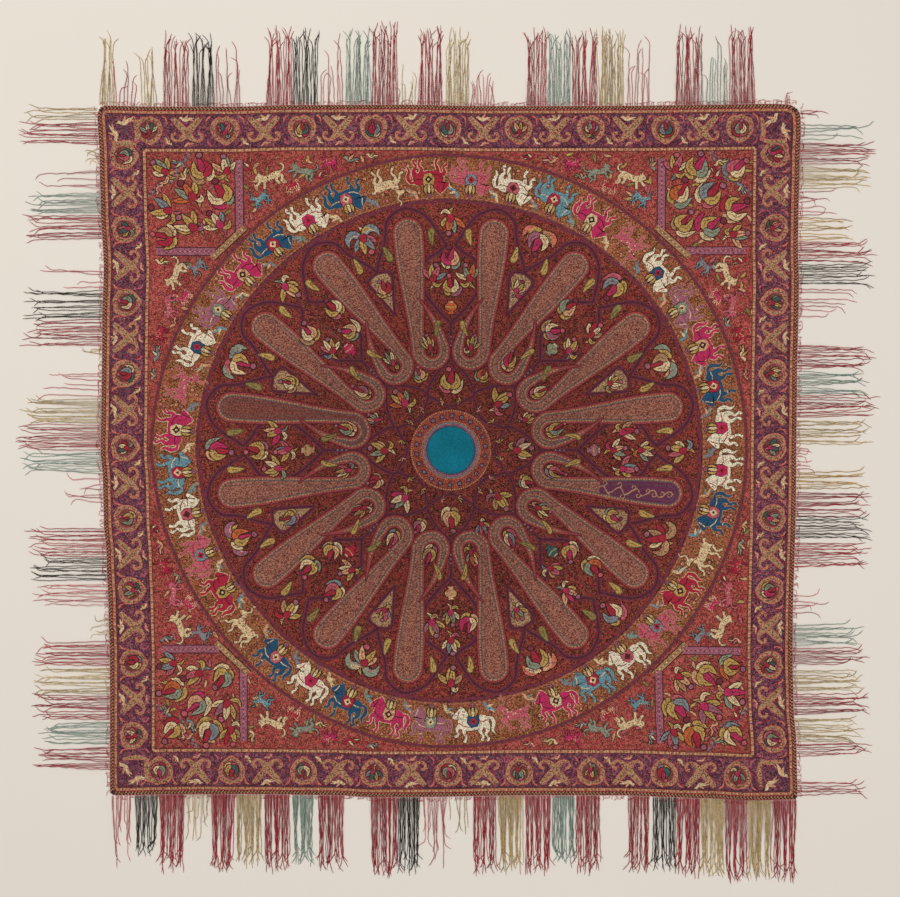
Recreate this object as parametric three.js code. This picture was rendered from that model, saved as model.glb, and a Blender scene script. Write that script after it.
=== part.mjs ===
// A square Kashmir moon shawl laid flat, with fringe on its four sides.
// Millimetres, +Z up. The origin is the middle of the moon, on the surface that the shawl
// lies on. +X runs to the shawl's right and +Y to its top, as it is seen from above.

import * as THREE from 'three';

// Driving sizes of the cloth
const CLOTH_THICKNESS = 1.5;
const SEAM_GAP = 0.3;
const EDGE_HALF = 892;          // half a side, out to the outer face of the plaited edging
const BRAID_WIDTH = 10;
const BRAID_HEIGHT = 3.2;
const BRAID_SHOULDER = 1.9;
const GUARD_WIDTH = 10;
const BORDER_WIDTH = 88;
const MOON_RADIUS = 61;
const MOON_RING_RADIUS = 105;
const ROSETTE_RADIUS = 650;
const BAND_RADIUS = 769;

// Driving sizes of the fringe
const FRINGE_TAPE_WIDTH = 4;
const FRINGE_TAPE_THICKNESS = 1.2;
const FRINGE_CLEARANCE = 0.3;   // the yarn lies this far above the surface
const FRINGE_REACH = 1116;      // the longest yarns end this far from the middle
const LOCK_ROOT_WIDTH = 20;
const LOCK_FILL = 0.62;         // the share of a group's width that its locks take up
const LOCK_SWAY = 4;
const SWAY_TURN = 2.4;          // how far the sway's phase moves on from lock to lock
const SPARSE_REACH = 120;       // a group shorter than this has worn thin, and has one lock
const NARROW_GROUP = 35;        // so has a group narrower than this

// How finely the outlines are divided
const SIDE_STEPS = 24;
const SECTOR_STEPS = 12;
const MOON_STEPS = 4;            // in each eighth of the moon's outline
const CORNER_STEP = 28;         // the last station of a side lies this far from the corner
const STATION = 2 * EDGE_HALF / SIDE_STEPS;
const EIGHTHS = 8;
const EIGHTH = 2 * Math.PI / EIGHTHS;

// Sizes worked out from the driving sizes
const BRAID_HALF = EDGE_HALF - BRAID_WIDTH;
const BORDER_HALF = BRAID_HALF - GUARD_WIDTH;
const INNER_GUARD_HALF = BORDER_HALF - BORDER_WIDTH;
const FIELD_HALF = INNER_GUARD_HALF - GUARD_WIDTH;

// Each side has a direction along it, read left to right or top to bottom, and one outwards.
const SIDES = {
  top: { along: [1, 0], out: [0, 1], corners: ['nw', 'ne'] },
  right: { along: [0, -1], out: [1, 0], corners: ['ne', 'se'] },
  bottom: { along: [1, 0], out: [0, -1], corners: ['sw', 'se'] },
  left: { along: [0, -1], out: [-1, 0], corners: ['nw', 'sw'] },
};

// The plaited edging turns each corner on a small radius.
const CORNER_RADIUS = { nw: 23, ne: 30, se: 10, sw: 12 };

// How far each hand-sewn edge has drifted outwards from the true square.
const EDGE_DRIFT = {
  top: [
    { along: -892, out: -3 }, { along: -750, out: -6 }, { along: -570, out: -7 },
    { along: -415, out: -2 }, { along: -130, out: -1 }, { along: 115, out: -5 },
    { along: 435, out: -4 }, { along: 640, out: -2 }, { along: 820, out: 1 },
    { along: 892, out: -1 },
  ],
  right: [
    { along: -892, out: 7 }, { along: -835, out: 10 }, { along: -750, out: 6 },
    { along: -515, out: 3 }, { along: -435, out: 5 }, { along: -335, out: 3 },
    { along: -170, out: 0 }, { along: 65, out: -2 }, { along: 530, out: -12 },
    { along: 645, out: -9 }, { along: 760, out: -1 }, { along: 892, out: 2 },
  ],
  bottom: [
    { along: -892, out: -2 }, { along: -660, out: -6 }, { along: -520, out: -5 },
    { along: -310, out: -3 }, { along: -195, out: 2 }, { along: -90, out: 2 },
    { along: 190, out: -2 }, { along: 420, out: -2 }, { along: 655, out: 5 },
    { along: 770, out: 10 }, { along: 892, out: 9 },
  ],
  left: [
    { along: -892, out: 20 }, { along: -733, out: 13 }, { along: -620, out: 10 },
    { along: -472, out: 3 }, { along: -335, out: 7 }, { along: -98, out: 9 },
    { along: 0, out: 11 }, { along: 82, out: 5 }, { along: 180, out: 3 },
    { along: 273, out: -4 }, { along: 418, out: -10 }, { along: 526, out: -13 },
    { along: 892, out: -13 },
  ],
};
const DRIFT_START = 300;        // nearer the middle than this the cloth keeps its true shape
const DRIFT_AT_FIELD = 0.85;    // the share of the drift that the field's edge has

// Soft ripples where the edge doesn't lie quite flat: the station of the crest, counted
// from the middle of the side, how far the ripple spreads each way along the side, how far
// it runs in from the edge, and how high it stands.
const RIPPLES = [
  { side: 'top', station: -8, spread: 130, inward: 190, height: 5 },
  { side: 'top', station: 2, spread: 120, inward: 150, height: 3.5 },
  { side: 'top', station: 9, spread: 110, inward: 210, height: 4.5 },
  { side: 'right', station: -10, spread: 120, inward: 170, height: 6 },
  { side: 'right', station: -5, spread: 110, inward: 130, height: 3 },
  { side: 'right', station: 7, spread: 140, inward: 220, height: 5 },
  { side: 'bottom', station: -9, spread: 120, inward: 160, height: 4 },
  { side: 'bottom', station: -3, spread: 110, inward: 140, height: 3 },
  { side: 'bottom', station: 10, spread: 130, inward: 200, height: 5.5 },
  { side: 'left', station: -9, spread: 130, inward: 180, height: 5 },
  { side: 'left', station: -1, spread: 120, inward: 150, height: 3.5 },
  { side: 'left', station: 6, spread: 150, inward: 230, height: 5 },
];

// The yarn hangs in groups of one colour. Each row is one group: where it starts and ends
// along its side, and the length of its yarn. Between some groups the yarn has been lost.
const FRINGE = {
  top: [
    { from: -888, to: -848, reach: 206 }, { from: -848, to: -790, reach: 130 },
    { from: -782, to: -742, reach: 165 }, { from: -726, to: -661, reach: 200 },
    { from: -656, to: -597, reach: 206 }, { from: -594, to: -532, reach: 185 },
    { from: -472, to: -406, reach: 215 }, { from: -406, to: -342, reach: 206 },
    { from: -340, to: -273, reach: 190 }, { from: -273, to: -206, reach: 206 },
    { from: -206, to: -137, reach: 226 }, { from: -137, to: -88, reach: 115 },
    { from: -85, to: -21, reach: 214 }, { from: -15, to: 46, reach: 211 },
    { from: 49, to: 114, reach: 105 }, { from: 194, to: 248, reach: 214 },
    { from: 248, to: 310, reach: 206 }, { from: 312, to: 377, reach: 209 },
    { from: 379, to: 446, reach: 211 }, { from: 449, to: 513, reach: 195 },
    { from: 575, to: 640, reach: 216 }, { from: 642, to: 712, reach: 206 },
    { from: 712, to: 779, reach: 214 }, { from: 852, to: 872, reach: 40 },
  ],
  right: [
    { from: -877, to: -866, reach: 88 }, { from: -846, to: -797, reach: 208 },
    { from: -795, to: -738, reach: 212 }, { from: -733, to: -676, reach: 200 },
    { from: -673, to: -604, reach: 108 }, { from: -604, to: -542, reach: 150 },
    { from: -539, to: -485, reach: 209 }, { from: -482, to: -426, reach: 206 },
    { from: -421, to: -343, reach: 200 }, { from: -273, to: -209, reach: 209 },
    { from: -206, to: -144, reach: 201 }, { from: -142, to: -83, reach: 224 },
    { from: -80, to: -15, reach: 206 }, { from: -13, to: 49, reach: 72 },
    { from: 54, to: 101, reach: 200 }, { from: 106, to: 170, reach: 204 },
    { from: 170, to: 230, reach: 209 }, { from: 237, to: 304, reach: 204 },
    { from: 366, to: 428, reach: 110 }, { from: 449, to: 501, reach: 196 },
    { from: 506, to: 547, reach: 204 }, { from: 562, to: 617, reach: 199 },
    { from: 622, to: 676, reach: 212 }, { from: 681, to: 746, reach: 186 },
    { from: 748, to: 782, reach: 212 }, { from: 843, to: 882, reach: 200 },
  ],
  bottom: [
    { from: -890, to: -834, reach: 190 }, { from: -827, to: -767, reach: 165 },
    { from: -764, to: -697, reach: 209 }, { from: -694, to: -630, reach: 130 },
    { from: -627, to: -563, reach: 211 }, { from: -560, to: -491, reach: 193 },
    { from: -485, to: -419, reach: 211 }, { from: -411, to: -354, reach: 193 },
    { from: -343, to: -276, reach: 214 }, { from: -206, to: -137, reach: 216 },
    { from: -137, to: -80, reach: 211 }, { from: -75, to: -8, reach: 200 },
    { from: -5, to: 49, reach: 110 }, { from: 57, to: 116, reach: 214 },
    { from: 121, to: 186, reach: 209 }, { from: 191, to: 258, reach: 211 },
    { from: 261, to: 320, reach: 193 }, { from: 323, to: 384, reach: 214 },
    { from: 457, to: 511, reach: 211 }, { from: 519, to: 580, reach: 204 },
    { from: 580, to: 642, reach: 214 }, { from: 642, to: 704, reach: 219 },
    { from: 707, to: 761, reach: 226 }, { from: 764, to: 825, reach: 215 },
    { from: 828, to: 890, reach: 222 },
  ],
  left: [
    { from: -890, to: -854, reach: 199 }, { from: -851, to: -789, reach: 217 },
    { from: -784, to: -738, reach: 50 }, { from: -733, to: -671, reach: 200 },
    { from: -668, to: -611, reach: 206 }, { from: -609, to: -544, reach: 212 },
    { from: -472, to: -415, reach: 172 }, { from: -413, to: -338, reach: 214 },
    { from: -338, to: -268, reach: 217 }, { from: -266, to: -245, reach: 60 },
    { from: -206, to: -137, reach: 190 }, { from: -134, to: -67, reach: 219 },
    { from: -65, to: 0, reach: 230 }, { from: 3, to: 62, reach: 219 },
    { from: 70, to: 106, reach: 100 }, { from: 111, to: 142, reach: 200 },
    { from: 201, to: 276, reach: 212 }, { from: 276, to: 338, reach: 209 },
    { from: 343, to: 400, reach: 206 }, { from: 428, to: 480, reach: 70 },
    { from: 493, to: 560, reach: 206 }, { from: 560, to: 632, reach: 209 },
    { from: 632, to: 699, reach: 214 }, { from: 699, to: 761, reach: 190 },
    { from: 764, to: 828, reach: 209 },
  ],
};

// Colours, from the photograph
const COLOURS = {
  moon: 0x0e6678,
  moonRing: 0x8f5a3c,
  rosette: 0x6e3a34,
  band: 0x7c5334,
  corner: 0x8c4338,
  guard: 0xa8875c,
  border: 0x56304e,
  braid: 0x7a4a2c,
  fringe: 0xa84452,
};

function cloth(colour) {
  return new THREE.MeshStandardMaterial({ color: colour, roughness: 0.85, metalness: 0 });
}

function smooth(share) {
  const t = Math.min(Math.max(share, 0), 1);
  return t * t * (3 - 2 * t);
}

// The drift of one edge at a place along it, eased from row to row of its table.
function driftAt(side, along) {
  const rows = EDGE_DRIFT[side];
  const last = rows.length - 1;
  if (along <= rows[0].along) return rows[0].out;
  if (along >= rows[last].along) return rows[last].out;
  const next = rows.findIndex((row) => row.along > along);
  const before = rows[next - 1];
  const after = rows[next];
  const share = smooth((along - before.along) / (after.along - before.along));
  return before.out + share * (after.out - before.out);
}

// The share of an edge's drift that cloth at this distance from the middle follows.
function driftShare(distance) {
  const inside = smooth((distance - DRIFT_START) / (FIELD_HALF - DRIFT_START));
  const outside = (distance - FIELD_HALF) / (EDGE_HALF - FIELD_HALF);
  return inside * DRIFT_AT_FIELD + Math.min(Math.max(outside, 0), 1) * (1 - DRIFT_AT_FIELD);
}

// Moves a point of the true square onto the square as it was really sewn.
function drifted(x, y) {
  const dx = x > 0
    ? driftShare(x) * driftAt('right', -y)
    : -driftShare(-x) * driftAt('left', -y);
  const dy = y > 0
    ? driftShare(y) * driftAt('top', x)
    : -driftShare(-y) * driftAt('bottom', x);
  return [x + dx, y + dy];
}

function bell(share) {
  return Math.abs(share) < 1 ? Math.cos(share * Math.PI / 2) ** 2 : 0;
}

// How far the ripples lift the cloth off the surface here.
function lift(x, y) {
  let height = 0;
  for (const ripple of RIPPLES) {
    const { along, out } = SIDES[ripple.side];
    const s = x * along[0] + y * along[1];
    const depth = EDGE_HALF - (x * out[0] + y * out[1]);
    const across = bell((s - ripple.station * STATION) / ripple.spread);
    height += ripple.height * across * bell(Math.max(depth, 0) / ripple.inward);
  }
  return height;
}

// A vertex over a point of the true square, at a height in the cloth.
function vertex([x, y], z) {
  const [px, py] = drifted(x, y);
  return [px, py, z + lift(x, y)];
}

// A closed mesh from its vertices and triangles, turned so that its faces point out.
function solid(name, vertices, triangles, material) {
  let volume = 0;
  for (const [i, j, k] of triangles) {
    const a = new THREE.Vector3(...vertices[i]);
    const b = new THREE.Vector3(...vertices[j]);
    const c = new THREE.Vector3(...vertices[k]);
    volume += a.dot(b.cross(c));
  }
  const facing = volume > 0 ? triangles : triangles.map(([i, j, k]) => [i, k, j]);
  const geometry = new THREE.BufferGeometry();
  geometry.setAttribute('position', new THREE.Float32BufferAttribute(vertices.flat(), 3));
  geometry.setIndex(facing.flat());
  geometry.computeVertexNormals();
  const mesh = new THREE.Mesh(geometry, material);
  mesh.name = name;
  return mesh;
}

// Triangles between two rows of vertex numbers that run the same way.
function zip(lower, upper) {
  const triangles = [];
  let i = 0;
  let j = 0;
  while (i < lower.length - 1 || j < upper.length - 1) {
    const lowerNext = (i + 1) / (lower.length - 1);
    const upperNext = (j + 1) / (upper.length - 1);
    const stepLower = i < lower.length - 1 && (j === upper.length - 1 || lowerNext <= upperNext);
    if (stepLower) {
      triangles.push([lower[i], lower[i + 1], upper[j]]);
      i += 1;
    } else {
      triangles.push([lower[i], upper[j + 1], upper[j]]);
      j += 1;
    }
  }
  return triangles;
}

// A flat wall of cloth through rows of points that run the same way, with an even thickness.
function panel(name, rows, material) {
  const vertices = [];
  const topRows = [];
  const floorRows = [];
  for (const row of rows) {
    topRows.push(row.map((point) => vertices.push(vertex(point, CLOTH_THICKNESS)) - 1));
    floorRows.push(row.map((point) => vertices.push(vertex(point, 0)) - 1));
  }
  const triangles = [];
  for (let r = 0; r + 1 < rows.length; r += 1) {
    triangles.push(...zip(topRows[r], topRows[r + 1]));
    const below = zip(floorRows[r], floorRows[r + 1]);
    triangles.push(...below.map(([i, j, k]) => [i, k, j]));
  }
  const rim = (levels) => [
    ...levels[0],
    ...levels.slice(1, -1).map((row) => row.at(-1)),
    ...levels.at(-1).toReversed(),
    ...levels.slice(1, -1).map((row) => row[0]).toReversed(),
  ];
  const topRim = rim(topRows);
  const floorRim = rim(floorRows);
  topRim.forEach((here, n) => {
    const next = (n + 1) % topRim.length;
    triangles.push([here, floorRim[n], floorRim[next]], [here, floorRim[next], topRim[next]]);
  });
  return solid(name, vertices, triangles, material);
}

// Stations are counted from the middle of a side; the last two each way are near its corner.
const LAST_STATION = SIDE_STEPS / 2 + 1;

// The place along a side of each of its stations but the corners.
function alongAt(station, half) {
  if (Math.abs(station) === LAST_STATION - 1) return Math.sign(station) * (half - CORNER_STEP);
  return station / (SIDE_STEPS / 2) * half;
}

// The point of a side at a station, on the line that lies this far from the middle. The
// corners are pulled in where the edging rounds them, and stop half a seam short of the
// mitre.
function sidePoint(side, station, half) {
  const { along, out, corners } = SIDES[side];
  let s = alongAt(station, half);
  let a = half;
  if (Math.abs(station) === LAST_STATION) {
    const radius = CORNER_RADIUS[corners[station < 0 ? 0 : 1]] - (EDGE_HALF - half);
    const pull = Math.max(radius, 0) * (1 - Math.SQRT1_2);
    s = Math.sign(station) * (half - pull - SEAM_GAP * Math.SQRT1_2);
    a = half - pull;
  }
  return [s * along[0] + a * out[0], s * along[1] + a * out[1]];
}

const STATIONS = Array.from({ length: 2 * LAST_STATION + 1 }, (_, n) => n - LAST_STATION);

function sideRow(side, half) {
  return STATIONS.map((station) => sidePoint(side, station, half));
}

// A strip of one side, between two lines of the square, mitred at both ends.
function strip(kind, side, innerHalf, outerHalf, rowCount, material) {
  const rows = [];
  for (let r = 0; r < rowCount; r += 1) {
    const share = r / (rowCount - 1);
    const inner = innerHalf + SEAM_GAP / 2;
    const outer = outerHalf - SEAM_GAP / 2;
    rows.push(sideRow(side, inner + share * (outer - inner)));
  }
  return panel(`${kind}_${side}`, rows, material);
}

function polar(radius, angle) {
  return [radius * Math.cos(angle), radius * Math.sin(angle)];
}

// A row of points along an arc, which stops half a seam short of the cuts at its ends.
function arcRow(radius, from, to, steps) {
  const trim = SEAM_GAP / 2 / radius;
  const row = [];
  for (let n = 0; n <= steps; n += 1) {
    let angle = from + n / steps * (to - from);
    if (n === 0) angle += trim;
    if (n === steps) angle -= trim;
    row.push(polar(radius, angle));
  }
  return row;
}

// An arc of a shape is divided twice as finely as its curveSegments.
const MOON_SEGMENTS = EIGHTHS * MOON_STEPS;

// The moon: a plain round of blue cloth, and the flowered ring that is sewn round it.
function moonPiece(name, innerRadius, outerRadius, material) {
  const outline = new THREE.Shape();
  outline.absarc(0, 0, outerRadius - SEAM_GAP / 2, 0, 2 * Math.PI, false);
  if (innerRadius > 0) {
    const hole = new THREE.Path();
    hole.absarc(0, 0, innerRadius + SEAM_GAP / 2, 0, 2 * Math.PI, false);
    outline.holes.push(hole);
  }
  const geometry = new THREE.ExtrudeGeometry(outline, {
    depth: CLOTH_THICKNESS,
    bevelEnabled: false,
    curveSegments: MOON_SEGMENTS / 2,
  });
  const mesh = new THREE.Mesh(geometry, material);
  mesh.name = name;
  return mesh;
}

// The great rosette is pieced from eight wedges; fewer points are needed near the moon.
const ROSETTE_ROWS = [
  { radius: MOON_RING_RADIUS + SEAM_GAP / 2, steps: MOON_STEPS },
  { radius: 240, steps: 6 },
  { radius: 400, steps: 8 },
  { radius: 530, steps: SECTOR_STEPS },
  { radius: ROSETTE_RADIUS - SEAM_GAP / 2, steps: SECTOR_STEPS },
];

function rosettePanel(index, material) {
  const rows = ROSETTE_ROWS.map(
    ({ radius, steps }) => arcRow(radius, index * EIGHTH, (index + 1) * EIGHTH, steps),
  );
  return panel(`rosette_panel_${index + 1}`, rows, material);
}

function ringBand(index, material) {
  const from = index * EIGHTH;
  const rows = [ROSETTE_RADIUS + SEAM_GAP / 2, BAND_RADIUS - SEAM_GAP / 2].map(
    (radius) => arcRow(radius, from, from + EIGHTH, SECTOR_STEPS),
  );
  return panel(`ring_band_${index + 1}`, rows, material);
}

// The corner pieces, each between the two sides that meet in its corner, anticlockwise.
const CORNERS = [
  { corner: 'ne', from: 'right', to: 'top' },
  { corner: 'nw', from: 'top', to: 'left' },
  { corner: 'sw', from: 'left', to: 'bottom' },
  { corner: 'se', from: 'bottom', to: 'right' },
];

// Half of a side's row, from half a seam off the middle to the last station before a corner.
function halfSide(side, corner, half) {
  const { along, corners } = SIDES[side];
  const sign = corners[0] === corner ? -1 : 1;
  const [x, y] = sidePoint(side, 0, half);
  const offset = sign * SEAM_GAP / 2;
  const row = [[x + offset * along[0], y + offset * along[1]]];
  for (let n = 1; n <= SIDE_STEPS / 2; n += 1) {
    row.push(sidePoint(side, sign * n, half));
  }
  return row;
}

// A corner piece fills one quarter between the band and the square edge of the field. Its
// rows pass from the arc to the two straight sides that meet in the corner.
function cornerPanel(index, material) {
  const { corner, from, to } = CORNERS[index];
  const half = FIELD_HALF - SEAM_GAP / 2;
  const start = index * 2 * EIGHTH;
  const arc = arcRow(BAND_RADIUS + SEAM_GAP / 2, start, start + 2 * EIGHTH, 2 * SECTOR_STEPS);
  const tip = [0, 1].map((c) => half * (SIDES[from].out[c] + SIDES[to].out[c]));
  const edge = [
    ...halfSide(from, corner, half), tip, ...halfSide(to, corner, half).toReversed(),
  ];
  const between = (share) => arc.map((point, n) => {
    const spot = n / (arc.length - 1) * (edge.length - 1);
    const low = Math.floor(spot);
    const high = Math.min(low + 1, edge.length - 1);
    return [0, 1].map((c) => {
      const onEdge = edge[low][c] + (spot - low) * (edge[high][c] - edge[low][c]);
      return point[c] + share * (onEdge - point[c]);
    });
  });
  return panel(`corner_panel_${corner}`, [arc, between(1 / 3), between(2 / 3), edge], material);
}

// The plaited edging, as one solid cord with a rounded back, in the true section.
function edgeBraid(side, material) {
  const inner = BRAID_HALF + SEAM_GAP / 2;
  const section = [
    { half: inner, z: 0 },
    { half: EDGE_HALF, z: 0 },
    { half: EDGE_HALF, z: BRAID_SHOULDER },
    { half: (inner + EDGE_HALF) / 2, z: BRAID_HEIGHT },
    { half: inner, z: BRAID_SHOULDER },
  ];
  const vertices = STATIONS.flatMap(
    (station) => section.map(({ half, z }) => vertex(sidePoint(side, station, half), z)),
  );
  const count = section.length;
  const triangles = [];
  for (let r = 0; r + 1 < STATIONS.length; r += 1) {
    for (let n = 0; n < count; n += 1) {
      const a = r * count + n;
      const b = r * count + (n + 1) % count;
      triangles.push([a, b, b + count], [a, b + count, a + count]);
    }
  }
  const last = (STATIONS.length - 1) * count;
  for (let n = 1; n + 1 < count; n += 1) {
    triangles.push([0, n + 1, n], [last, last + n, last + n + 1]);
  }
  return solid(`edge_braid_${side}`, vertices, triangles, material);
}

// Where each lock of one side's fringe is rooted, and how wide and long it is.
function locksOf(side) {
  const locks = [];
  for (const { from, to, reach } of FRINGE[side]) {
    const count = reach < SPARSE_REACH || to - from < NARROW_GROUP ? 1 : 2;
    const share = (to - from) / count;
    for (let n = 0; n < count; n += 1) {
      locks.push({
        along: from + share * (n + 0.5),
        width: Math.min(LOCK_ROOT_WIDTH, LOCK_FILL * share),
        reach,
        sway: LOCK_SWAY * Math.sin(SWAY_TURN * locks.length + reach),
      });
    }
  }
  return locks;
}

// How a lock narrows and sways from its root to just before its tip.
const LOCK_SECTIONS = [
  { share: 0, width: 1, sway: 0, height: FRINGE_TAPE_THICKNESS },
  { share: 0.3, width: 0.68, sway: -0.6, height: 1.3 },
  { share: 0.62, width: 0.64, sway: 0.8, height: 1.2 },
  { share: 0.9, width: 0.42, sway: 0.3, height: 1 },
];
const LOCK_TIP = { share: 1, sway: 1, height: 0.5 };
const TAPE_END = 3;             // the tape runs this far past the last lock

// One side's fringe: a narrow tape along the edge, and three-sided locks that grow from the
// tape's outer face, taper, sway a little and lie just above the surface.
function fringe(side, material) {
  const { along, out } = SIDES[side];
  const inner = EDGE_HALF + SEAM_GAP;
  const outer = inner + FRINGE_TAPE_WIDTH;
  const locks = locksOf(side);
  const vertices = [];
  const triangles = [];
  const at = (s, a) => [s * along[0] + a * out[0], s * along[1] + a * out[1]];
  const add = (point) => vertices.push(point) - 1;
  const onTape = (s, a, height) => add(vertex(at(s, a), FRINGE_CLEARANCE + height));

  // A point of a lock comes down from its lifted root to the surface, and stays in reach.
  const onLock = (lock, s, share, height) => {
    const root = at(lock.along, outer);
    const [x, y] = drifted(...at(s, outer + share * lock.reach));
    const z = FRINGE_CLEARANCE + height + lift(...root) * (1 - share) ** 2;
    const keep = (value) => Math.min(Math.max(value, -FRINGE_REACH), FRINGE_REACH);
    return add([keep(x), keep(y), z]);
  };

  const ends = [locks[0], locks.at(-1)].map(
    (lock) => lock.along + Math.sign(lock.along) * (lock.width / 2 + TAPE_END),
  );
  const spots = [
    ends[0],
    ...STATIONS.map((station) => alongAt(station, EDGE_HALF))
      .filter((s) => s > ends[0] && s < ends[1]),
    ends[1],
  ];
  const innerFloor = spots.map((s) => onTape(s, inner, 0));
  const innerTop = spots.map((s) => onTape(s, inner, FRINGE_TAPE_THICKNESS));
  const outerFloor = [onTape(ends[0], outer, 0)];
  const outerTop = [onTape(ends[0], outer, FRINGE_TAPE_THICKNESS)];
  for (const lock of locks) {
    let ring = null;
    for (const { share, width, sway, height } of LOCK_SECTIONS) {
      const middle = lock.along + sway * lock.sway;
      const left = middle - width * lock.width / 2;
      const right = middle + width * lock.width / 2;
      const here = share === 0
        ? [onTape(left, outer, 0), onTape(right, outer, 0), onTape(middle, outer, height)]
        : [
          onLock(lock, left, share, 0),
          onLock(lock, right, share, 0),
          onLock(lock, middle, share, height),
        ];
      if (ring === null) {
        const [rootLeft, rootRight, crown] = here;
        const floorSoFar = outerFloor.at(-1);
        const topSoFar = outerTop.at(-1);
        triangles.push([floorSoFar, rootLeft, crown], [floorSoFar, crown, topSoFar]);
        outerFloor.push(rootLeft, rootRight);
        outerTop.push(crown);
      } else {
        for (let n = 0; n < 3; n += 1) {
          const m = (n + 1) % 3;
          triangles.push([ring[n], here[m], here[n]], [ring[n], ring[m], here[m]]);
        }
      }
      ring = here;
    }
    const tip = onLock(
      lock, lock.along + LOCK_TIP.sway * lock.sway, LOCK_TIP.share, LOCK_TIP.height,
    );
    for (let n = 0; n < 3; n += 1) {
      triangles.push([ring[n], ring[(n + 1) % 3], tip]);
    }
  }
  const floorEnd = onTape(ends[1], outer, 0);
  const topEnd = onTape(ends[1], outer, FRINGE_TAPE_THICKNESS);
  triangles.push(
    [outerFloor.at(-1), floorEnd, topEnd],
    [outerFloor.at(-1), topEnd, outerTop.at(-1)],
  );
  outerFloor.push(floorEnd);
  outerTop.push(topEnd);

  triangles.push(...zip(innerFloor, outerFloor));
  triangles.push(...zip(innerTop, outerTop).map(([i, j, k]) => [i, k, j]));
  for (let n = 0; n + 1 < spots.length; n += 1) {
    triangles.push(
      [innerFloor[n], innerTop[n + 1], innerFloor[n + 1]],
      [innerFloor[n], innerTop[n], innerTop[n + 1]],
    );
  }
  const cap = (floorIn, topIn, floorOut, topOut) => [
    [floorIn, floorOut, topOut], [floorIn, topOut, topIn],
  ];
  triangles.push(...cap(innerFloor[0], innerTop[0], outerFloor[0], outerTop[0]));
  triangles.push(
    ...cap(innerFloor.at(-1), innerTop.at(-1), floorEnd, topEnd).map(([i, j, k]) => [i, k, j]),
  );
  return solid(`fringe_${side}`, vertices, triangles, material);
}

const shawl = new THREE.Group();
shawl.name = 'moon_shawl';
shawl.add(moonPiece('moon_disc', 0, MOON_RADIUS, cloth(COLOURS.moon)));
shawl.add(moonPiece('moon_ring', MOON_RADIUS, MOON_RING_RADIUS, cloth(COLOURS.moonRing)));
for (let n = 0; n < EIGHTHS; n += 1) {
  shawl.add(rosettePanel(n, cloth(COLOURS.rosette)));
  shawl.add(ringBand(n, cloth(COLOURS.band)));
}
for (let n = 0; n < CORNERS.length; n += 1) {
  shawl.add(cornerPanel(n, cloth(COLOURS.corner)));
}
for (const side of Object.keys(SIDES)) {
  shawl.add(strip('inner_guard', side, FIELD_HALF, INNER_GUARD_HALF, 2, cloth(COLOURS.guard)));
  shawl.add(strip('border', side, INNER_GUARD_HALF, BORDER_HALF, 3, cloth(COLOURS.border)));
  shawl.add(strip('outer_guard', side, BORDER_HALF, BRAID_HALF, 2, cloth(COLOURS.guard)));
  shawl.add(edgeBraid(side, cloth(COLOURS.braid)));
  shawl.add(fringe(side, cloth(COLOURS.fringe)));
}

export default shawl;
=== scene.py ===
# A square Kashmir moon shawl laid flat, seen from straight above. Sizes are in millimetres of
# the true square, with the middle of the moon at 0, 0, until they are laid on the surface.

import math
import random
from collections import namedtuple

import bmesh
import bpy
import numpy as np
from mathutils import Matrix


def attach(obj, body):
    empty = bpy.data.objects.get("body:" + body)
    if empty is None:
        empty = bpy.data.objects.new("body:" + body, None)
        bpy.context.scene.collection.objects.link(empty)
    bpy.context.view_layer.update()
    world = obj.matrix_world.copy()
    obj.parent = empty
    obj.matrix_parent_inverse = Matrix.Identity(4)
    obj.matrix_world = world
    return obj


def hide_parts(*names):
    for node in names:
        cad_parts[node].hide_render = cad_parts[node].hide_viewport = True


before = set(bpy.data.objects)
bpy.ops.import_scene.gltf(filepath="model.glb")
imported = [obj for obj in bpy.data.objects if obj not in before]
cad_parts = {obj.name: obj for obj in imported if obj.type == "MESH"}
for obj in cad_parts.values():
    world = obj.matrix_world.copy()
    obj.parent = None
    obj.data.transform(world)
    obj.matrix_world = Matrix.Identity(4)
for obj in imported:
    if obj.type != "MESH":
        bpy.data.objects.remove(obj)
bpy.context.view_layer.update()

MM = 0.001

# The surface is a plain pale studio floor. The camera hangs straight above the shawl, far
# enough off that the cloth shows square, and soft light comes from the top left of the room.
PHOTO_WIDTH = 900
PHOTO_HEIGHT = 897
CLOTH_PER_PIXEL = 2.58          # millimetres of cloth across one pixel of the photograph
MOON_PIXEL = (450.9, 450.2)     # where the middle of the moon lies in it
CAMERA_HEIGHT = 9.0
SENSOR_WIDTH = 36.0
FLOOR_HALF = 14.0
ROOM_LIGHT = 0.40


def dye(red, green, blue):
    """A colour as it is seen, in parts of 255, turned into light for a shader."""
    light = []
    for part in (red, green, blue):
        share = part / 255
        light.append(share / 12.92 if share < 0.04045 else ((share + 0.055) / 1.055) ** 2.4)
    return (*light, 1.0)


def new_finish(name, roughness, specular, sheen=0.0, sheen_roughness=0.5):
    """A new material, with how it takes the light. Returns it with its nodes and its shader."""
    finish = bpy.data.materials.new(name)
    finish.use_nodes = True
    shader = finish.node_tree.nodes["Principled BSDF"]
    shader.inputs["Roughness"].default_value = roughness
    shader.inputs["Specular IOR Level"].default_value = specular
    shader.inputs["Sheen Weight"].default_value = sheen
    shader.inputs["Sheen Roughness"].default_value = sheen_roughness
    return finish, finish.node_tree, shader


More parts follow.
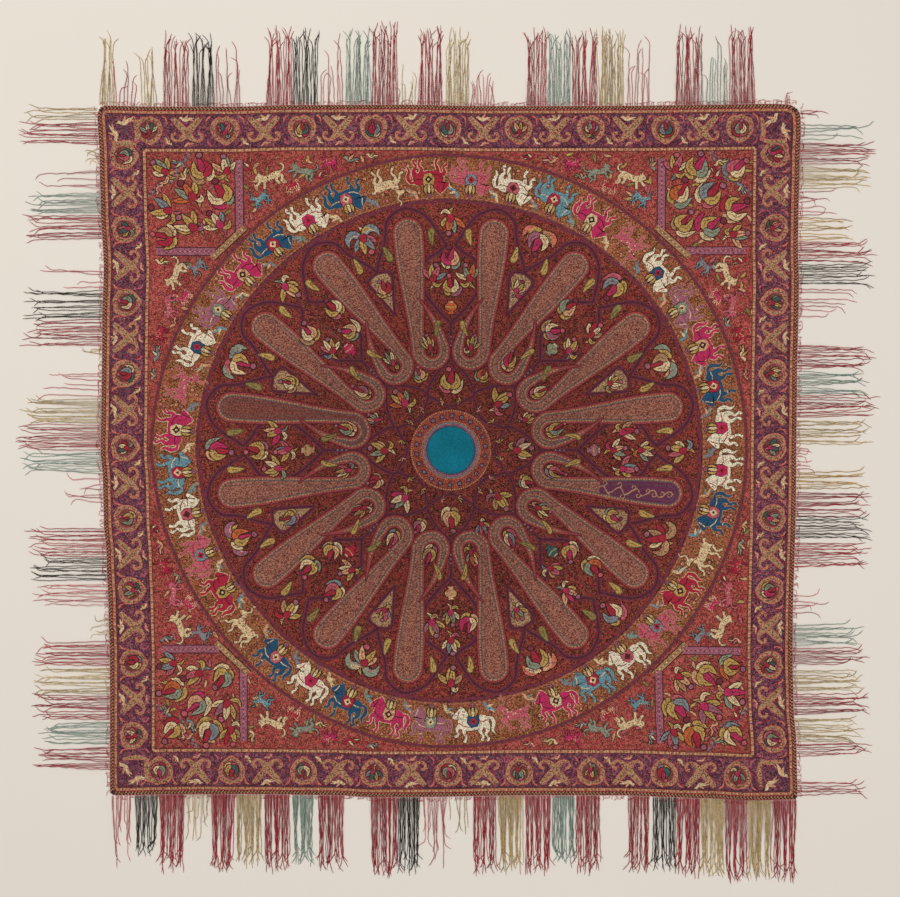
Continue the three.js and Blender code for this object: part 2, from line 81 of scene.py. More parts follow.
def node(tree, kind, inputs=(), **settings):
    """A node of a material. Each input is a value of its own or the output of another node."""
    made = tree.nodes.new("ShaderNode" + kind)
    for name, value in settings.items():
        setattr(made, name, value)
    for name, value in dict(inputs).items():
        if isinstance(value, bpy.types.NodeSocket):
            tree.links.new(value, made.inputs[name])
        else:
            made.inputs[name].default_value = value
    return made


def plain_floor():
    floor_mesh = bpy.data.meshes.new("floor")
    corners = [(-FLOOR_HALF, -FLOOR_HALF, 0), (FLOOR_HALF, -FLOOR_HALF, 0),
               (FLOOR_HALF, FLOOR_HALF, 0), (-FLOOR_HALF, FLOOR_HALF, 0)]
    floor_mesh.from_pydata(corners, [], [(0, 1, 2, 3)])
    floor = bpy.data.objects.new("floor", floor_mesh)
    bpy.context.scene.collection.objects.link(floor)
    paper, tree, shader = new_finish("floor_paper", 0.95, 0.1)
    cloud = node(tree, "TexNoise", {"Scale": 0.6})
    tone = node(tree, "ValToRGB", {"Fac": cloud.outputs["Fac"]})
    tone.color_ramp.elements[0].color = dye(222, 215, 205)
    tone.color_ramp.elements[1].color = dye(234, 226, 217)
    tree.links.new(tone.outputs["Color"], shader.inputs["Base Color"])
    floor_mesh.materials.append(paper)


def studio_light(name, place, size, power):
    lamp = bpy.data.lights.new(name, "AREA")
    lamp.shape = "DISK"
    lamp.size = size
    lamp.energy = power
    lamp.color = (1.0, 0.985, 0.96)
    holder = bpy.data.objects.new(name, lamp)
    holder.location = place
    holder.rotation_mode = "QUATERNION"
    holder.rotation_quaternion = (holder.location).to_track_quat("Z", "Y")
    bpy.context.scene.collection.objects.link(holder)


plain_floor()
studio_light("window_light", (-2.6, 3.0, 7.0), 4.0, 318)
studio_light("room_light", (3.0, -1.6, 6.0), 4.5, 116)
room = bpy.data.worlds.new("room")
room.use_nodes = True
room.node_tree.nodes["Background"].inputs["Color"].default_value = (1.0, 0.985, 0.965, 1)
room.node_tree.nodes["Background"].inputs["Strength"].default_value = ROOM_LIGHT
bpy.context.scene.world = room
bpy.context.scene.view_settings.view_transform = "Standard"

camera = bpy.data.objects.new("camera", bpy.data.cameras.new("camera"))
camera.data.sensor_width = SENSOR_WIDTH
camera.data.lens = SENSOR_WIDTH * CAMERA_HEIGHT / (PHOTO_WIDTH * CLOTH_PER_PIXEL * MM)
camera.location = (
    (PHOTO_WIDTH / 2 - MOON_PIXEL[0]) * CLOTH_PER_PIXEL * MM,
    (MOON_PIXEL[1] - PHOTO_HEIGHT / 2) * CLOTH_PER_PIXEL * MM,
    CAMERA_HEIGHT,
)
camera.data.clip_end = 100
bpy.context.scene.collection.objects.link(camera)
bpy.context.scene.camera = camera

# The moon is a plain round of blue goat-wool twill. Like every panel of the shawl it is one
# thin even cloth that lies flat, and follows the way the hand-sewn edges have drifted from a
# true square and the few places where the cloth ripples or keeps a soft crease.
CLOTH_THICKNESS = 1.5
SEAM_GAP = 0.3
EDGE_HALF = 892                 # half a side, out to the outer face of the plaited edging
FIELD_HALF = 774
DRIFT_START = 300               # nearer the middle than this the cloth keeps its true shape
DRIFT_AT_FIELD = 0.85
STATION = 2 * EDGE_HALF / 24
MOON_RADIUS = 61
MOON_GRID = 16
TWILL = 2.4                     # the pitch of the weave's diagonal lines
FLECK = 2.1                     # the size of the flecks of dye in the ground
ONE_LINE = 0.314                # the wave pattern's scale for one line in each metre
CURL_RING = (0.32, 0.09)        # a curl's radius and half its width, as shares of its spacing
CURL_STRENGTH = 0.62
DARK_TO = 0.28                  # metres from the moon to which the old dyes are well kept
FADED_FROM = 0.6                # and from which they have faded as far as they have anywhere

# Each edge: (place along it, how far it has drifted outwards). The sides are read left to
# right or top to bottom.
EDGE_DRIFT = {
    "top": [(-892, -3), (-750, -6), (-570, -7), (-415, -2), (-130, -1), (115, -5), (435, -4),
            (640, -2), (820, 1), (892, -1)],
    "right": [(-892, 7), (-835, 10), (-750, 6), (-515, 3), (-435, 5), (-335, 3), (-170, 0),
              (65, -2), (530, -12), (645, -9), (760, -1), (892, 2)],
    "bottom": [(-892, -2), (-660, -6), (-520, -5), (-310, -3), (-195, 2), (-90, 2), (190, -2),
               (420, -2), (655, 5), (770, 10), (892, 9)],
    "left": [(-892, 20), (-733, 13), (-620, 10), (-472, 3), (-335, 7), (-98, 9), (0, 11),
             (82, 5), (180, 3), (273, -4), (418, -10), (526, -13), (892, -13)],
}
Side = namedtuple("Side", "along out corners")
SIDES = {
    "top": Side((1, 0), (0, 1), ("nw", "ne")),
    "right": Side((0, -1), (1, 0), ("ne", "se")),
    "bottom": Side((1, 0), (0, -1), ("sw", "se")),
    "left": Side((0, -1), (-1, 0), ("nw", "sw")),
}

# Ripples where an edge doesn't lie quite flat, and soft creases from folding and handling.
Ripple = namedtuple("Ripple", "side station spread inward height")
RIPPLES = [
    Ripple("top", -8, 130, 190, 5), Ripple("top", 2, 120, 150, 3.5),
    Ripple("top", 9, 110, 210, 4.5), Ripple("right", -10, 120, 170, 6),
    Ripple("right", -5, 110, 130, 3), Ripple("right", 7, 140, 220, 5),
    Ripple("bottom", -9, 120, 160, 4), Ripple("bottom", -3, 110, 140, 3),
    Ripple("bottom", 10, 130, 200, 5.5), Ripple("left", -9, 130, 180, 5),
    Ripple("left", -1, 120, 150, 3.5), Ripple("left", 6, 150, 230, 5),
]
Crease = namedtuple("Crease", "x y heading length width height")
CREASES = [
    Crease(-520, 640, 38, 420, 90, 1.3), Crease(-700, 210, 84, 380, 80, 1.0),
    Crease(-610, -380, 118, 460, 95, 1.3), Crease(-330, -690, 14, 360, 80, 0.9),
    Crease(160, -720, 172, 300, 85, 1.0), Crease(560, -600, 131, 520, 95, 1.4),
    Crease(715, -150, 96, 340, 75, 0.9), Crease(690, 420, 71, 410, 85, 1.2),
    Crease(400, 700, 157, 380, 80, 1.0), Crease(-60, 560, 8, 300, 85, 0.8),
    Crease(230, 210, 52, 380, 90, 0.8), Crease(-260, -150, 144, 420, 90, 0.9),
    Crease(120, -330, 101, 330, 85, 0.7), Crease(-400, 330, 63, 280, 80, 0.7),
]


def smooth(share):
    share = np.clip(share, 0, 1)
    return share * share * (3 - 2 * share)


def bell(share):
    return np.where(np.abs(share) < 1, np.cos(np.clip(share, -1, 1) * math.pi / 2) ** 2, 0)


def edge_drift(side, along):
    """How far an edge has drifted outwards at places along it."""
    places, outs = np.array(EDGE_DRIFT[side], float).T
    after = np.clip(np.searchsorted(places, along, side="right"), 1, len(places) - 1)
    before = after - 1
    share = smooth((along - places[before]) / (places[after] - places[before]))
    return outs[before] + share * (outs[after] - outs[before])


def drift_share(distance):
    inside = smooth((distance - DRIFT_START) / (FIELD_HALF - DRIFT_START))
    outside = np.clip((distance - FIELD_HALF) / (EDGE_HALF - FIELD_HALF), 0, 1)
    return inside * DRIFT_AT_FIELD + outside * (1 - DRIFT_AT_FIELD)


def sewn(x, y):
    """Places of the true square, moved onto the square as it was really sewn."""
    right = drift_share(x) * edge_drift("right", -y)
    left = drift_share(-x) * edge_drift("left", -y)
    top = drift_share(y) * edge_drift("top", x)
    bottom = drift_share(-y) * edge_drift("bottom", x)
    return x + right - left, y + top - bottom


def rise(x, y):
    """How far the cloth stands off the surface at places of the true square."""
    height = np.zeros_like(x)
    for ripple in RIPPLES:
        along, out, _ = SIDES[ripple.side]
        s = x * along[0] + y * along[1]
        depth = np.maximum(EDGE_HALF - (x * out[0] + y * out[1]), 0)
        height += (ripple.height * bell((s - ripple.station * STATION) / ripple.spread)
                   * bell(depth / ripple.inward))
    for crease in CREASES:
        heading = math.radians(crease.heading)
        dx, dy = x - crease.x, y - crease.y
        along = dx * math.cos(heading) + dy * math.sin(heading)
        across = dy * math.cos(heading) - dx * math.sin(heading)
        across = across + 14 * np.sin(along / 90 + crease.x)
        height += (crease.height * bell(2 * along / crease.length)
                   * bell(across / crease.width))
    return height


def laid(points):
    """Points of the true square, with their height over its underside, laid in metres."""
    places = np.array(points, float)
    x, y = sewn(places[:, 0], places[:, 1])
    z = places[:, 2] + rise(places[:, 0], places[:, 1])
    return np.column_stack([x, y, z]) * MM


def add_piece(name, points, faces, material, replaced=()):
    """Makes a piece of the shawl from its mesh, and gives it its place in the shared frame."""
    mesh = bpy.data.meshes.new(name)
    mesh.from_pydata([tuple(p) for p in points], [], faces)
    mesh.materials.append(material)
    piece = bpy.data.objects.new(name, mesh)
    bpy.context.scene.collection.objects.link(piece)
    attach(piece, "root")
    if replaced:
        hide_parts(*replaced)
    return piece


def cloth_piece(name, rows, material, replaced, closed=False):
    """A thin even cloth through rows of places. A closed one runs round to where it began."""
    across = len(rows[0])
    count = len(rows) * across
    places = [place for row in rows for place in row]
    points = laid([(x, y, CLOTH_THICKNESS) for x, y in places] + [(x, y, 0) for x, y in places])
    steps = across if closed else across - 1
    faces = []
    for r in range(len(rows) - 1):
        for c in range(steps):
            near = r * across + c
            beside = r * across + (c + 1) % across
            faces.append((near, beside, beside + across, near + across))
            faces.append((near + count, near + across + count, beside + across + count,
                          beside + count))
    last = (len(rows) - 1) * across
    rim = []
    for c in range(steps):
        rim.append((c, (c + 1) % across))
        rim.append((last + (c + 1) % across, last + c))
    if not closed:
        for r in range(len(rows) - 1):
            rim.append(((r + 1) * across, r * across))
            rim.append((r * across + across - 1, (r + 1) * across + across - 1))
    faces += [(a, a + count, b + count, b) for a, b in rim]
    piece = add_piece(name, points, faces, material, replaced)
    shell = bmesh.new()
    shell.from_mesh(piece.data)
    bmesh.ops.recalc_face_normals(shell, faces=shell.faces)
    shell.to_mesh(piece.data)
    shell.free()
    for face in piece.data.polygons:
        face.use_smooth = abs(face.normal.z) > 0.5
    return piece


def work_out(tree, operation, *values):
    """The result of one operation on numbers and on the outputs of other nodes."""
    return node(tree, "Math", enumerate(values), operation=operation).outputs["Value"]


def spread(tree, value, low, high, start=0.0, end=1.0):
    """A value that runs from start to end, made to run from low to high."""
    inputs = {"Value": value, "From Min": start, "From Max": end, "To Min": low, "To Max": high}
    return node(tree, "MapRange", inputs).outputs["Result"]


def toned(tree, colour, tone):
    return node(tree, "VectorMath", {0: colour, "Scale": tone}, operation="SCALE").outputs["Vector"]


def tone_by_place(tree, place, tone, near):
    """A tone, made darker towards the moon, where the old dyes have kept the best."""
    away = node(tree, "VectorMath", {0: place}, operation="LENGTH").outputs["Value"]
    return work_out(tree, "MULTIPLY", tone, spread(tree, away, near, 1, DARK_TO, FADED_FROM))


def along_the_twill(tree):
    """Places on the cloth as they are, and turned to run with the twill's diagonal lines."""
    place = node(tree, "TexCoord").outputs["Object"]
    turned = node(tree, "Mapping", {"Vector": place, "Rotation": (0, 0, math.radians(45)),
                                    "Scale": (1.0, 1.15, 0.02)})
    return place, turned.outputs["Vector"]


def small_cells(tree, places, size):
    """Cells of a size, each with chances of its own. Returns those and the cells' own node."""
    cells = node(tree, "TexVoronoi", {"Vector": places, "Scale": 1 / (size * MM)})
    return node(tree, "SeparateColor", {"Color": cells.outputs["Color"]}), cells


def diagonal_lines(tree, places, pitch, waver):
    """The fine slanting lines of the twill or of the stitches."""
    return node(tree, "TexWave", {"Vector": places, "Scale": ONE_LINE / (pitch * MM),
                                  "Distortion": waver}, bands_direction="X").outputs["Fac"]


def dress(tree, shader, colour, height, strength, depth=0.5):
    """Gives a finish its colour and its fine relief, depth millimetres deep."""
    tree.links.new(colour, shader.inputs["Base Color"])
    relief = node(tree, "Bump", {"Height": height, "Strength": strength, "Distance": depth * MM})
    tree.links.new(relief.outputs["Normal"], shader.inputs["Normal"])


def shawl_wool(name, flecks, curl=None, sheen=0.06, near=1.0):
    """Fine twill wool whose ground is built up from small flecks of several dyes, each a
    (share, colour) pair. A curl is a (colour, spacing, share) of small rings over the flecks."""
    wool, tree, shader = new_finish(name, 0.88, 0.12, sheen, 0.55)
    place, turned = along_the_twill(tree)
    chance, cells = small_cells(tree, turned, FLECK)
    dyes = node(tree, "ValToRGB", {"Fac": chance.outputs["Red"]})
    stops = dyes.color_ramp.elements
    dyes.color_ramp.interpolation = "CONSTANT"
    while len(stops) > 1:
        stops.remove(stops[-1])
    so_far = 0.0
    for n, (share, colour) in enumerate(flecks):
        stop = stops[0] if n == 0 else stops.new(so_far)
        stop.position = so_far
        stop.color = dye(*colour)
        so_far += share
    ground = dyes.outputs["Color"]

    if curl:
        curl_colour, spacing, share = curl
        which, curls = small_cells(tree, turned, spacing)
        on_ring = work_out(tree, "COMPARE", curls.outputs["Distance"], *CURL_RING)
        has_curl = work_out(tree, "LESS_THAN", which.outputs["Green"], share)
        amount = work_out(tree, "MULTIPLY", on_ring, has_curl)
        amount = work_out(tree, "MULTIPLY", amount, CURL_STRENGTH)
        ground = node(tree, "Mix", {"Factor": amount, "A": ground, "B": dye(*curl_colour)},
                      data_type="RGBA").outputs["Result"]

    patchy = node(tree, "TexNoise", {"Vector": place, "Scale": 11, "Detail": 5}).outputs["Fac"]
    lines = diagonal_lines(tree, turned, TWILL, 0.6)
    # The tone darkens the colour a little along the twill's grooves and lightens it on its ridges, which
    # the bump draws too: painted shade on the weave's relief, over a patchy random fading.
    tone = work_out(tree, "MULTIPLY", spread(tree, patchy, 0.84, 1.16, 0.3, 0.7),
                    spread(tree, lines, 0.9, 1.08))
    colour = toned(tree, ground, tone_by_place(tree, place, tone, near))
    dress(tree, shader, colour, work_out(tree, "ADD", lines, cells.outputs["Distance"]), 0.35)
    return wool


def disc_rows(radius, steps):
    """Rows of places that fill a round evenly, from a square grid bent to a circle."""
    rows = []
    for r in range(steps + 1):
        v = 2 * r / steps - 1
        row = []
        for c in range(steps + 1):
            u = 2 * c / steps - 1
            row.append((radius * u * math.sqrt(1 - v * v / 2), radius * v * math.sqrt(1 - u * u / 2)))
        rows.append(row)
    return rows


moon_wool = shawl_wool(
    "moon_wool", [(0.5, (8, 101, 120)), (0.3, (6, 92, 112)), (0.2, (14, 110, 126))],
    sheen=0.04,
)
moon = cloth_piece(
    "moon_cloth", disc_rows(MOON_RADIUS - SEAM_GAP / 2, MOON_GRID), moon_wool,
    ["moon_disc"],
)

# The moon ring is a round band of orange-red wool sewn to the moon's edge. It carries a row
# of small blue-grey flowerets between two dotted lines, darned in with wool yarn.
MOON_RING_RADIUS = 105
RING_STEPS = 96
FLOWERETS = 22
SEWN_ON = 0.2                   # yarn stands this far above the cloth
LAYER = 0.25                    # lines lie this far above dots, and figures above lines
HAIR = 0.02                     # each patch lies a hair above the patch before it
SUNK = 0.35                     # the yarn's edges go this far down into the cloth
WIDEST_FACE = 12                # wider patches are split, so that they follow the cloth
RIBS = 1.8                      # the pitch of the stitches' fine ribs

YARN = {
    "ink": (44, 27, 22), "umber": (86, 56, 42), "plum": (98, 46, 68), "plum_dark": (74, 31, 42),
    "wine": (118, 46, 62), "maroon": (92, 30, 34), "violet": (96, 44, 74),
    "rose_dark": (146, 62, 66),
    "mauve": (150, 90, 106), "crimson": (164, 32, 56), "magenta": (180, 40, 88),
    "rose": (180, 86, 98), "salmon": (196, 106, 86), "peach": (200, 148, 112),
    "pink": (198, 122, 112), "cream": (206, 180, 138), "ivory": (218, 205, 178),
    "gold": (178, 144, 80), "sand": (164, 124, 88), "tan": (168, 126, 94),
    "tan_dark": (134, 92, 68), "olive": (136, 120, 66), "moss": (82, 82, 52),
    "orange": (180, 92, 50), "rust": (146, 62, 42), "slate": (92, 82, 82),
    "steel": (118, 126, 130), "teal": (50, 92, 90), "sage": (128, 136, 116),
    "blue": (20, 74, 104), "sky": (96, 138, 148), "boteh": (158, 104, 86),
    "boteh_dark": (126, 74, 64), "speckled": (166, 134, 98), "olive_dark": (48, 36, 25),
}
FLECKED = {"boteh": 0.4, "boteh_dark": 0.45, "speckled": 0.3, "plum": 0.2, "wine": 0.2}
PLAIN_FLECK = 0.12              # how much of the ground shows through the other yarns


class Stitching:
    """Patches of wool yarn gathered into one mesh. Each stands a little above the cloth, with
    its edges sunk into it, and above the patch sewn before it. Each face keeps its yarn."""

    def __init__(self, lift=0):
        self.points = []
        self.faces = []
        self.yarns = []
        self.lift = lift * HAIR / 4     # neighbouring pieces and motifs never lie quite level
        self.begun = 0
        self.start(0)

    def start(self, layer):
        """Begins again at 0 for dots on the ground, 1 for lines, 1.5 for what lies over those
        lines or 2 for the figures."""
        self.begun += 1
        self.top = CLOTH_THICKNESS + SEWN_ON + LAYER * layer + self.lift + HAIR / 9 * (self.begun % 9)

    def patch(self, outline, yarn, on_cloth=False):
        """A filled patch inside an outline. One that lies on the cloth has its edge sunk in it."""
        area = sum(a[0] * b[1] - b[0] * a[1] for a, b in zip(outline, outline[1:] + outline[:1]))
        if area < 0:
            outline = outline[::-1]
        self.top += HAIR
        first = len(self.points)
        count = len(outline)
        cx, cy = (sum(place[i] for place in outline) / count for i in (0, 1))
        rings = 1 + int(max(math.dist((cx, cy), place) for place in outline) / WIDEST_FACE)
        levels = [(1 - ring / rings, self.top) for ring in range(rings)]
        if on_cloth:
            levels.insert(0, (1, CLOTH_THICKNESS - SUNK))
        for share, height in levels:
            self.points += [(cx + (x - cx) * share, cy + (y - cy) * share, height)
                            for x, y in outline]
        for level in range(len(levels) - 1):
            here = first + level * count
            for n in range(count):
                m = (n + 1) % count
                self.faces.append((here + n, here + m, here + count + m, here + count + n))
        last = first + (len(levels) - 1) * count
        self.faces.append(tuple(range(last, last + count)))
        self.yarns += [yarn] * ((len(levels) - 1) * count + 1)

    def stroke(self, route, width, yarn, on_cloth=False):
        """A line of yarn along a route. Its width is one number, or one for each point, and
        several yarns take turns along it."""
        yarns = [yarn] if isinstance(yarn, str) else yarn
        widths = [width] * len(route) if isinstance(width, (int, float)) else width
        self.top += HAIR
        first = len(self.points)
        line, turns = [], []
        for n in range(len(route) - 1):
            near, far = (*route[n], widths[n]), (*route[n + 1], widths[n + 1])
            parts = 1 + int(math.dist(near[:2], far[:2]) / WIDEST_FACE)
            for k in range(parts):
                line.append([a + (b - a) * k / parts for a, b in zip(near, far)])
                turns.append(yarns[n % len(yarns)])
        line.append([*route[-1], widths[-1]])
        across = 1 + int(max(widths) / WIDEST_FACE)
        sides = [(1 - 2 * k / across, self.top) for k in range(across + 1)]
        if on_cloth:
            low = CLOTH_THICKNESS - SUNK
            sides = [(1, low), *sides, (-1, low)]
        row = len(sides)
        for n, (x, y, wide) in enumerate(line):
            ahead = line[min(n + 1, len(line) - 1)]
            behind = line[max(n - 1, 0)]
            dx, dy = ahead[0] - behind[0], ahead[1] - behind[1]
            long = math.hypot(dx, dy) or 1
            ox, oy = -dy / long * wide / 2, dx / long * wide / 2
            self.points += [(x + side * ox, y + side * oy, height) for side, height in sides]
        for n in range(len(line) - 1):
            here = first + row * n
            for k in range(row - 1):
                self.faces.append((here + k, here + k + 1, here + k + row + 1, here + k + row))
            self.yarns += [turns[n]] * (row - 1)
        if on_cloth:
            end = first + row * (len(line) - 1)
            self.faces += [tuple(range(first + row - 1, first - 1, -1)),
                           tuple(range(end, end + row))]
            self.yarns += [turns[0], turns[-1]]

    def piece(self, name, slot, replaced=()):
        """The finished stitching as one piece."""
        made = add_piece(name, laid(self.points), self.faces, embroidery_wool(), replaced)
        known = {yarn: (*dye(*YARN[yarn])[:3], FLECKED.get(yarn, PLAIN_FLECK))
                 for yarn in set(self.yarns)}
        colour_faces(made, self.faces, [known[yarn] for yarn in self.yarns])
        return made


def colour_faces(piece, faces, colours):
    """Gives each face of a piece the colour of its yarn."""
    values = []
    for face, colour in zip(faces, colours):
        values += colour * len(face)
    dyed = piece.data.color_attributes.new("yarn", "FLOAT_COLOR", "CORNER")
    dyed.data.foreach_set("color", values)


def embroidery_wool():
    """Wool yarn darned in short rows: the yarn's own colour, flecked where the ground shows
    between the stitches, with a fine ribbed relief."""
    wool = bpy.data.materials.get("embroidery_wool")
    if wool:
        return wool
    wool, tree, shader = new_finish("embroidery_wool", 0.82, 0.15, 0.1, 0.45)
    yarn = node(tree, "Attribute", attribute_name="yarn")
    place, turned = along_the_twill(tree)
    chance, _ = small_cells(tree, turned, FLECK)
    tone = tone_by_place(tree, place, spread(tree, chance.outputs["Green"], 0.6, 1.3), 0.8)
    colour = node(tree, "Mix", {
        "Factor": work_out(tree, "LESS_THAN", chance.outputs["Red"], yarn.outputs["Alpha"]),
        "A": toned(tree, yarn.outputs["Color"], tone), "B": dye(92, 42, 36)}, data_type="RGBA")
    dress(tree, shader, colour.outputs["Result"], diagonal_lines(tree, turned, RIBS, 1.2), 0.4)
    return wool


def around(radius, degrees):
    """A place on a circle about the moon, counted anticlockwise from the right."""
    angle = math.radians(degrees)
    return radius * math.cos(angle), radius * math.sin(angle)


def arc(radius, start, end, steps):
    return [around(radius, start + (end - start) * n / steps) for n in range(steps + 1)]


def spot(x, y, facing=90.0, size=1.0, flip=1):
    """A motif's own place: u runs to its right and v the way it faces, in its own units."""
    angle = math.radians(facing)
    forward = (math.cos(angle), math.sin(angle))
    right = (forward[1] * flip, -forward[0] * flip)
    return lambda u, v: (x + size * (u * right[0] + v * forward[0]),
                         y + size * (u * right[1] + v * forward[1]))


def ellipse(at, u, v, wide, high, turn=0.0, steps=8):
    """The outline of an oval in a motif, centred on u, v."""
    c, s = math.cos(math.radians(turn)), math.sin(math.radians(turn))
    outline = []
    for n in range(steps):
        a = 2 * math.pi * n / steps
        du, dv = wide / 2 * math.cos(a), high / 2 * math.sin(a)
        outline.append(at(u + du * c - dv * s, v + du * s + dv * c))
    return outline


def ring_rows(inner, outer, rows, steps):
    made = []
    for r in range(rows + 1):
        radius = inner + (outer - inner) * r / rows
        made.append([around(radius, 360 * n / steps) for n in range(steps)])
    return made


ring_wool = shawl_wool(
    "moon_ring_wool",
    [(0.28, (156, 66, 48)), (0.25, (112, 48, 42)), (0.15, (160, 98, 62)), (0.18, (84, 36, 38)),
     (0.14, (140, 74, 70))], near=0.86,
)
moon_ring = cloth_piece(
    "moon_ring_cloth",
    ring_rows(MOON_RADIUS + SEAM_GAP / 2, MOON_RING_RADIUS - SEAM_GAP / 2, 5, RING_STEPS),
    ring_wool, ["moon_ring"], closed=True,
)
flowerets = Stitching()
flowerets.start(1)
for radius, width, yarn in ((62.6, 2.2, "blue"), (66.2, 4.6, "mauve"), (70.6, 3.6, "steel")):
    flowerets.stroke(arc(radius, 0, 360, 72), width, yarn, True)
for radius in (75, 102):
    flowerets.stroke(arc(radius, 0, 360, 220), 2.6, ["peach", "rust"], True)
for n in range(FLOWERETS):
    turn = 360 * (n + 0.4) / FLOWERETS
    at = spot(*around(89, turn), turn)
    flowerets.start(2)
    for k in range(6):
        a = math.radians(60 * k)
        flowerets.patch(ellipse(at, 4.6 * math.cos(a), 4.6 * math.sin(a), 6.4, 5.4, 60 * k),
                        "plum_dark" if k % 2 else "violet", True)
    flowerets.patch(ellipse(at, 0, 0, 7.4, 7.4), "steel")
    flowerets.patch(ellipse(at, 0, 0, 3.0, 3.0, 0, 6), "ink")
moon_ring_stitching = flowerets.piece("moon_ring_flowerets", "moon_ring_cloth")

# The great rosette is pieced from eight wedges of dark red wool. Each wedge carries a pair of
# long botehs whose heads hook away from each other, and shares with its neighbours a lattice
# of plum-coloured lines that frames tight bunches of flowers.
ROSETTE_RADIUS = 650
EIGHTH = 45
SECTOR_ROWS = 38
SECTOR_STEPS = 32
BULB_RADIUS = 39
BULB_AT = (112, 561)           # the middle of a boteh's round end, from its pair's axis
NECK_AT = (17.5, 260)           # where the shaft meets the hook
HOOK_RADIUS = 34
TENDRIL_WIDTH = 12.5
TAIL_CLIMB = 0.1                # a boteh's tail lies this far above its shaft
SHAFT_SLIMS = 21.5              # how much each side of the shaft draws in towards the neck


def curve_through(points, steps=5, closed=False):
    """A smooth line through a few places."""
    count = len(points)
    made = []
    spans = count if closed else count - 1
    for n in range(spans):
        if closed:
            a, b, c, d = (points[(n + k) % count] for k in (-1, 0, 1, 2))
        else:
            a, b, c, d = (points[min(max(n + k, 0), count - 1)] for k in (-1, 0, 1, 2))
        for step in range(steps):
            t = step / steps
            made.append(tuple(
                0.5 * (2 * b[i] + (c[i] - a[i]) * t + (2 * a[i] - 5 * b[i] + 4 * c[i] - d[i]) * t * t
                       + (3 * b[i] - a[i] - 3 * c[i] + d[i]) * t ** 3) for i in range(2)))
    if not closed:
        made.append(tuple(points[-1]))
    return made


def sector_rows(inner, outer, index, rows, steps):
    """Rows of places that fill one eighth of a ring, half a seam short at both cuts."""
    made = []
    for r in range(rows + 1):
        radius = inner + (outer - inner) * r / rows
        trim = math.degrees(SEAM_GAP / 2 / radius)
        start, end = EIGHTH * index + trim, EIGHTH * (index + 1) - trim
        made.append([around(radius, start + (end - start) * n / steps) for n in range(steps + 1)])
    return made


def boteh_line(inset):
    """The middle line of a long boteh and its width along it, drawn in by an inset."""
    bulb = BULB_RADIUS - inset
    lean = math.atan2(BULB_AT[0] - NECK_AT[0], BULB_AT[1] - NECK_AT[1])
    line = []
    for n in range(13):
        a = math.pi / 2 * (1 - n / 12)
        along = max(bulb, 0) * math.sin(a)
        line.append((BULB_AT[0] + along * math.sin(lean), BULB_AT[1] + along * math.cos(lean),
                     2 * bulb * math.cos(a)))
    for n in range(1, 90):
        share = n / 89
        slim = 2 * (BULB_RADIUS - SHAFT_SLIMS * smooth(share * 1.08 - 0.06))
        line.append((BULB_AT[0] + (NECK_AT[0] - BULB_AT[0]) * share,
                     BULB_AT[1] + (NECK_AT[1] - BULB_AT[1]) * share, slim - 2 * inset))
    for n in range(1, 31):
        a = math.pi * n / 30
        line.append((NECK_AT[0] + HOOK_RADIUS * (1 - math.cos(a)),
                     NECK_AT[1] - HOOK_RADIUS * math.sin(a) * 1.12, 35 - 7 * n / 30 - 2 * inset))
    tail = curve_through([(85.5, 260), (89, 292), (88, 326), (82, 360), (73, 396)], 8)
    for n, (u, v) in enumerate(tail[1:]):
        line.append((u, v, 28 * (1 - (n + 1) / 33) - 2 * inset))
    return [(u, v, float(width)) for u, v, width in line]


# The bands of a boteh from its edge in, each with how far in it begins and its yarns.
BOTEH_BANDS = [(-2.2, ["maroon"]), (0, ["rose_dark"]), (4.6, ["tan", "tan_dark"]),
               (8.8, ["slate"]), (12.0, ["fill"]), (19.0, ["slate", "fill"]), (21.4, ["fill"])]


def sew_boteh(work, at, fill="boteh", fill_ends=200):
    """One long boteh: a dark and a rose edge, a dotted tan line, a slate line and a flecked
    middle with a second faint line in it. Past fill_ends its middle is the usual one."""
    work.top += HAIR
    first = len(work.points)
    edges = []
    for k, (inset, _) in enumerate(BOTEH_BANDS):
        line = [(*at(u, v), width) for u, v, width in boteh_line(inset)]
        left, right = [], []
        for n, (x, y, width) in enumerate(line):
            ahead, behind = line[min(n + 1, len(line) - 1)], line[max(n - 1, 0)]
            dx, dy = ahead[0] - behind[0], ahead[1] - behind[1]
            half = max(width / 2, 0.02 * (8 - k)) / (math.hypot(dx, dy) or 1)
            height = work.top + TAIL_CLIMB * n / len(line)
            left.append((x - dy * half, y + dx * half, height))
            right.append((x + dy * half, y - dx * half, height))
        edges.append((left, right))
    low = CLOTH_THICKNESS - SUNK
    for n, (x, y, _) in enumerate(line):
        row = [left[n] for left, _ in edges]
        row += [(x, y, row[0][2])] + [right[n] for _, right in reversed(edges)]
        work.points += [(*row[0][:2], low), *row, (*row[-1][:2], low)]
    inner = len(BOTEH_BANDS) - 1
    order = [0, *range(inner), inner, inner, *range(inner - 1, -1, -1), 0]
    wide = len(order) + 1
    for n in range(len(line) - 1):
        for k, band in enumerate(order):
            here = first + wide * n + k
            work.faces.append((here, here + 1, here + wide + 1, here + wide))
            yarns = BOTEH_BANDS[band][1]
            yarn = yarns[n % len(yarns)]
            work.yarns.append((fill if n < fill_ends else "boteh") if yarn == "fill" else yarn)
    for k in range(inner):
        here, there = first + 1 + k, first + wide - 2 - k
        work.faces.append((here, there, there - 1, here + 1))
        work.yarns.append(BOTEH_BANDS[k][1][0].replace("fill", fill))


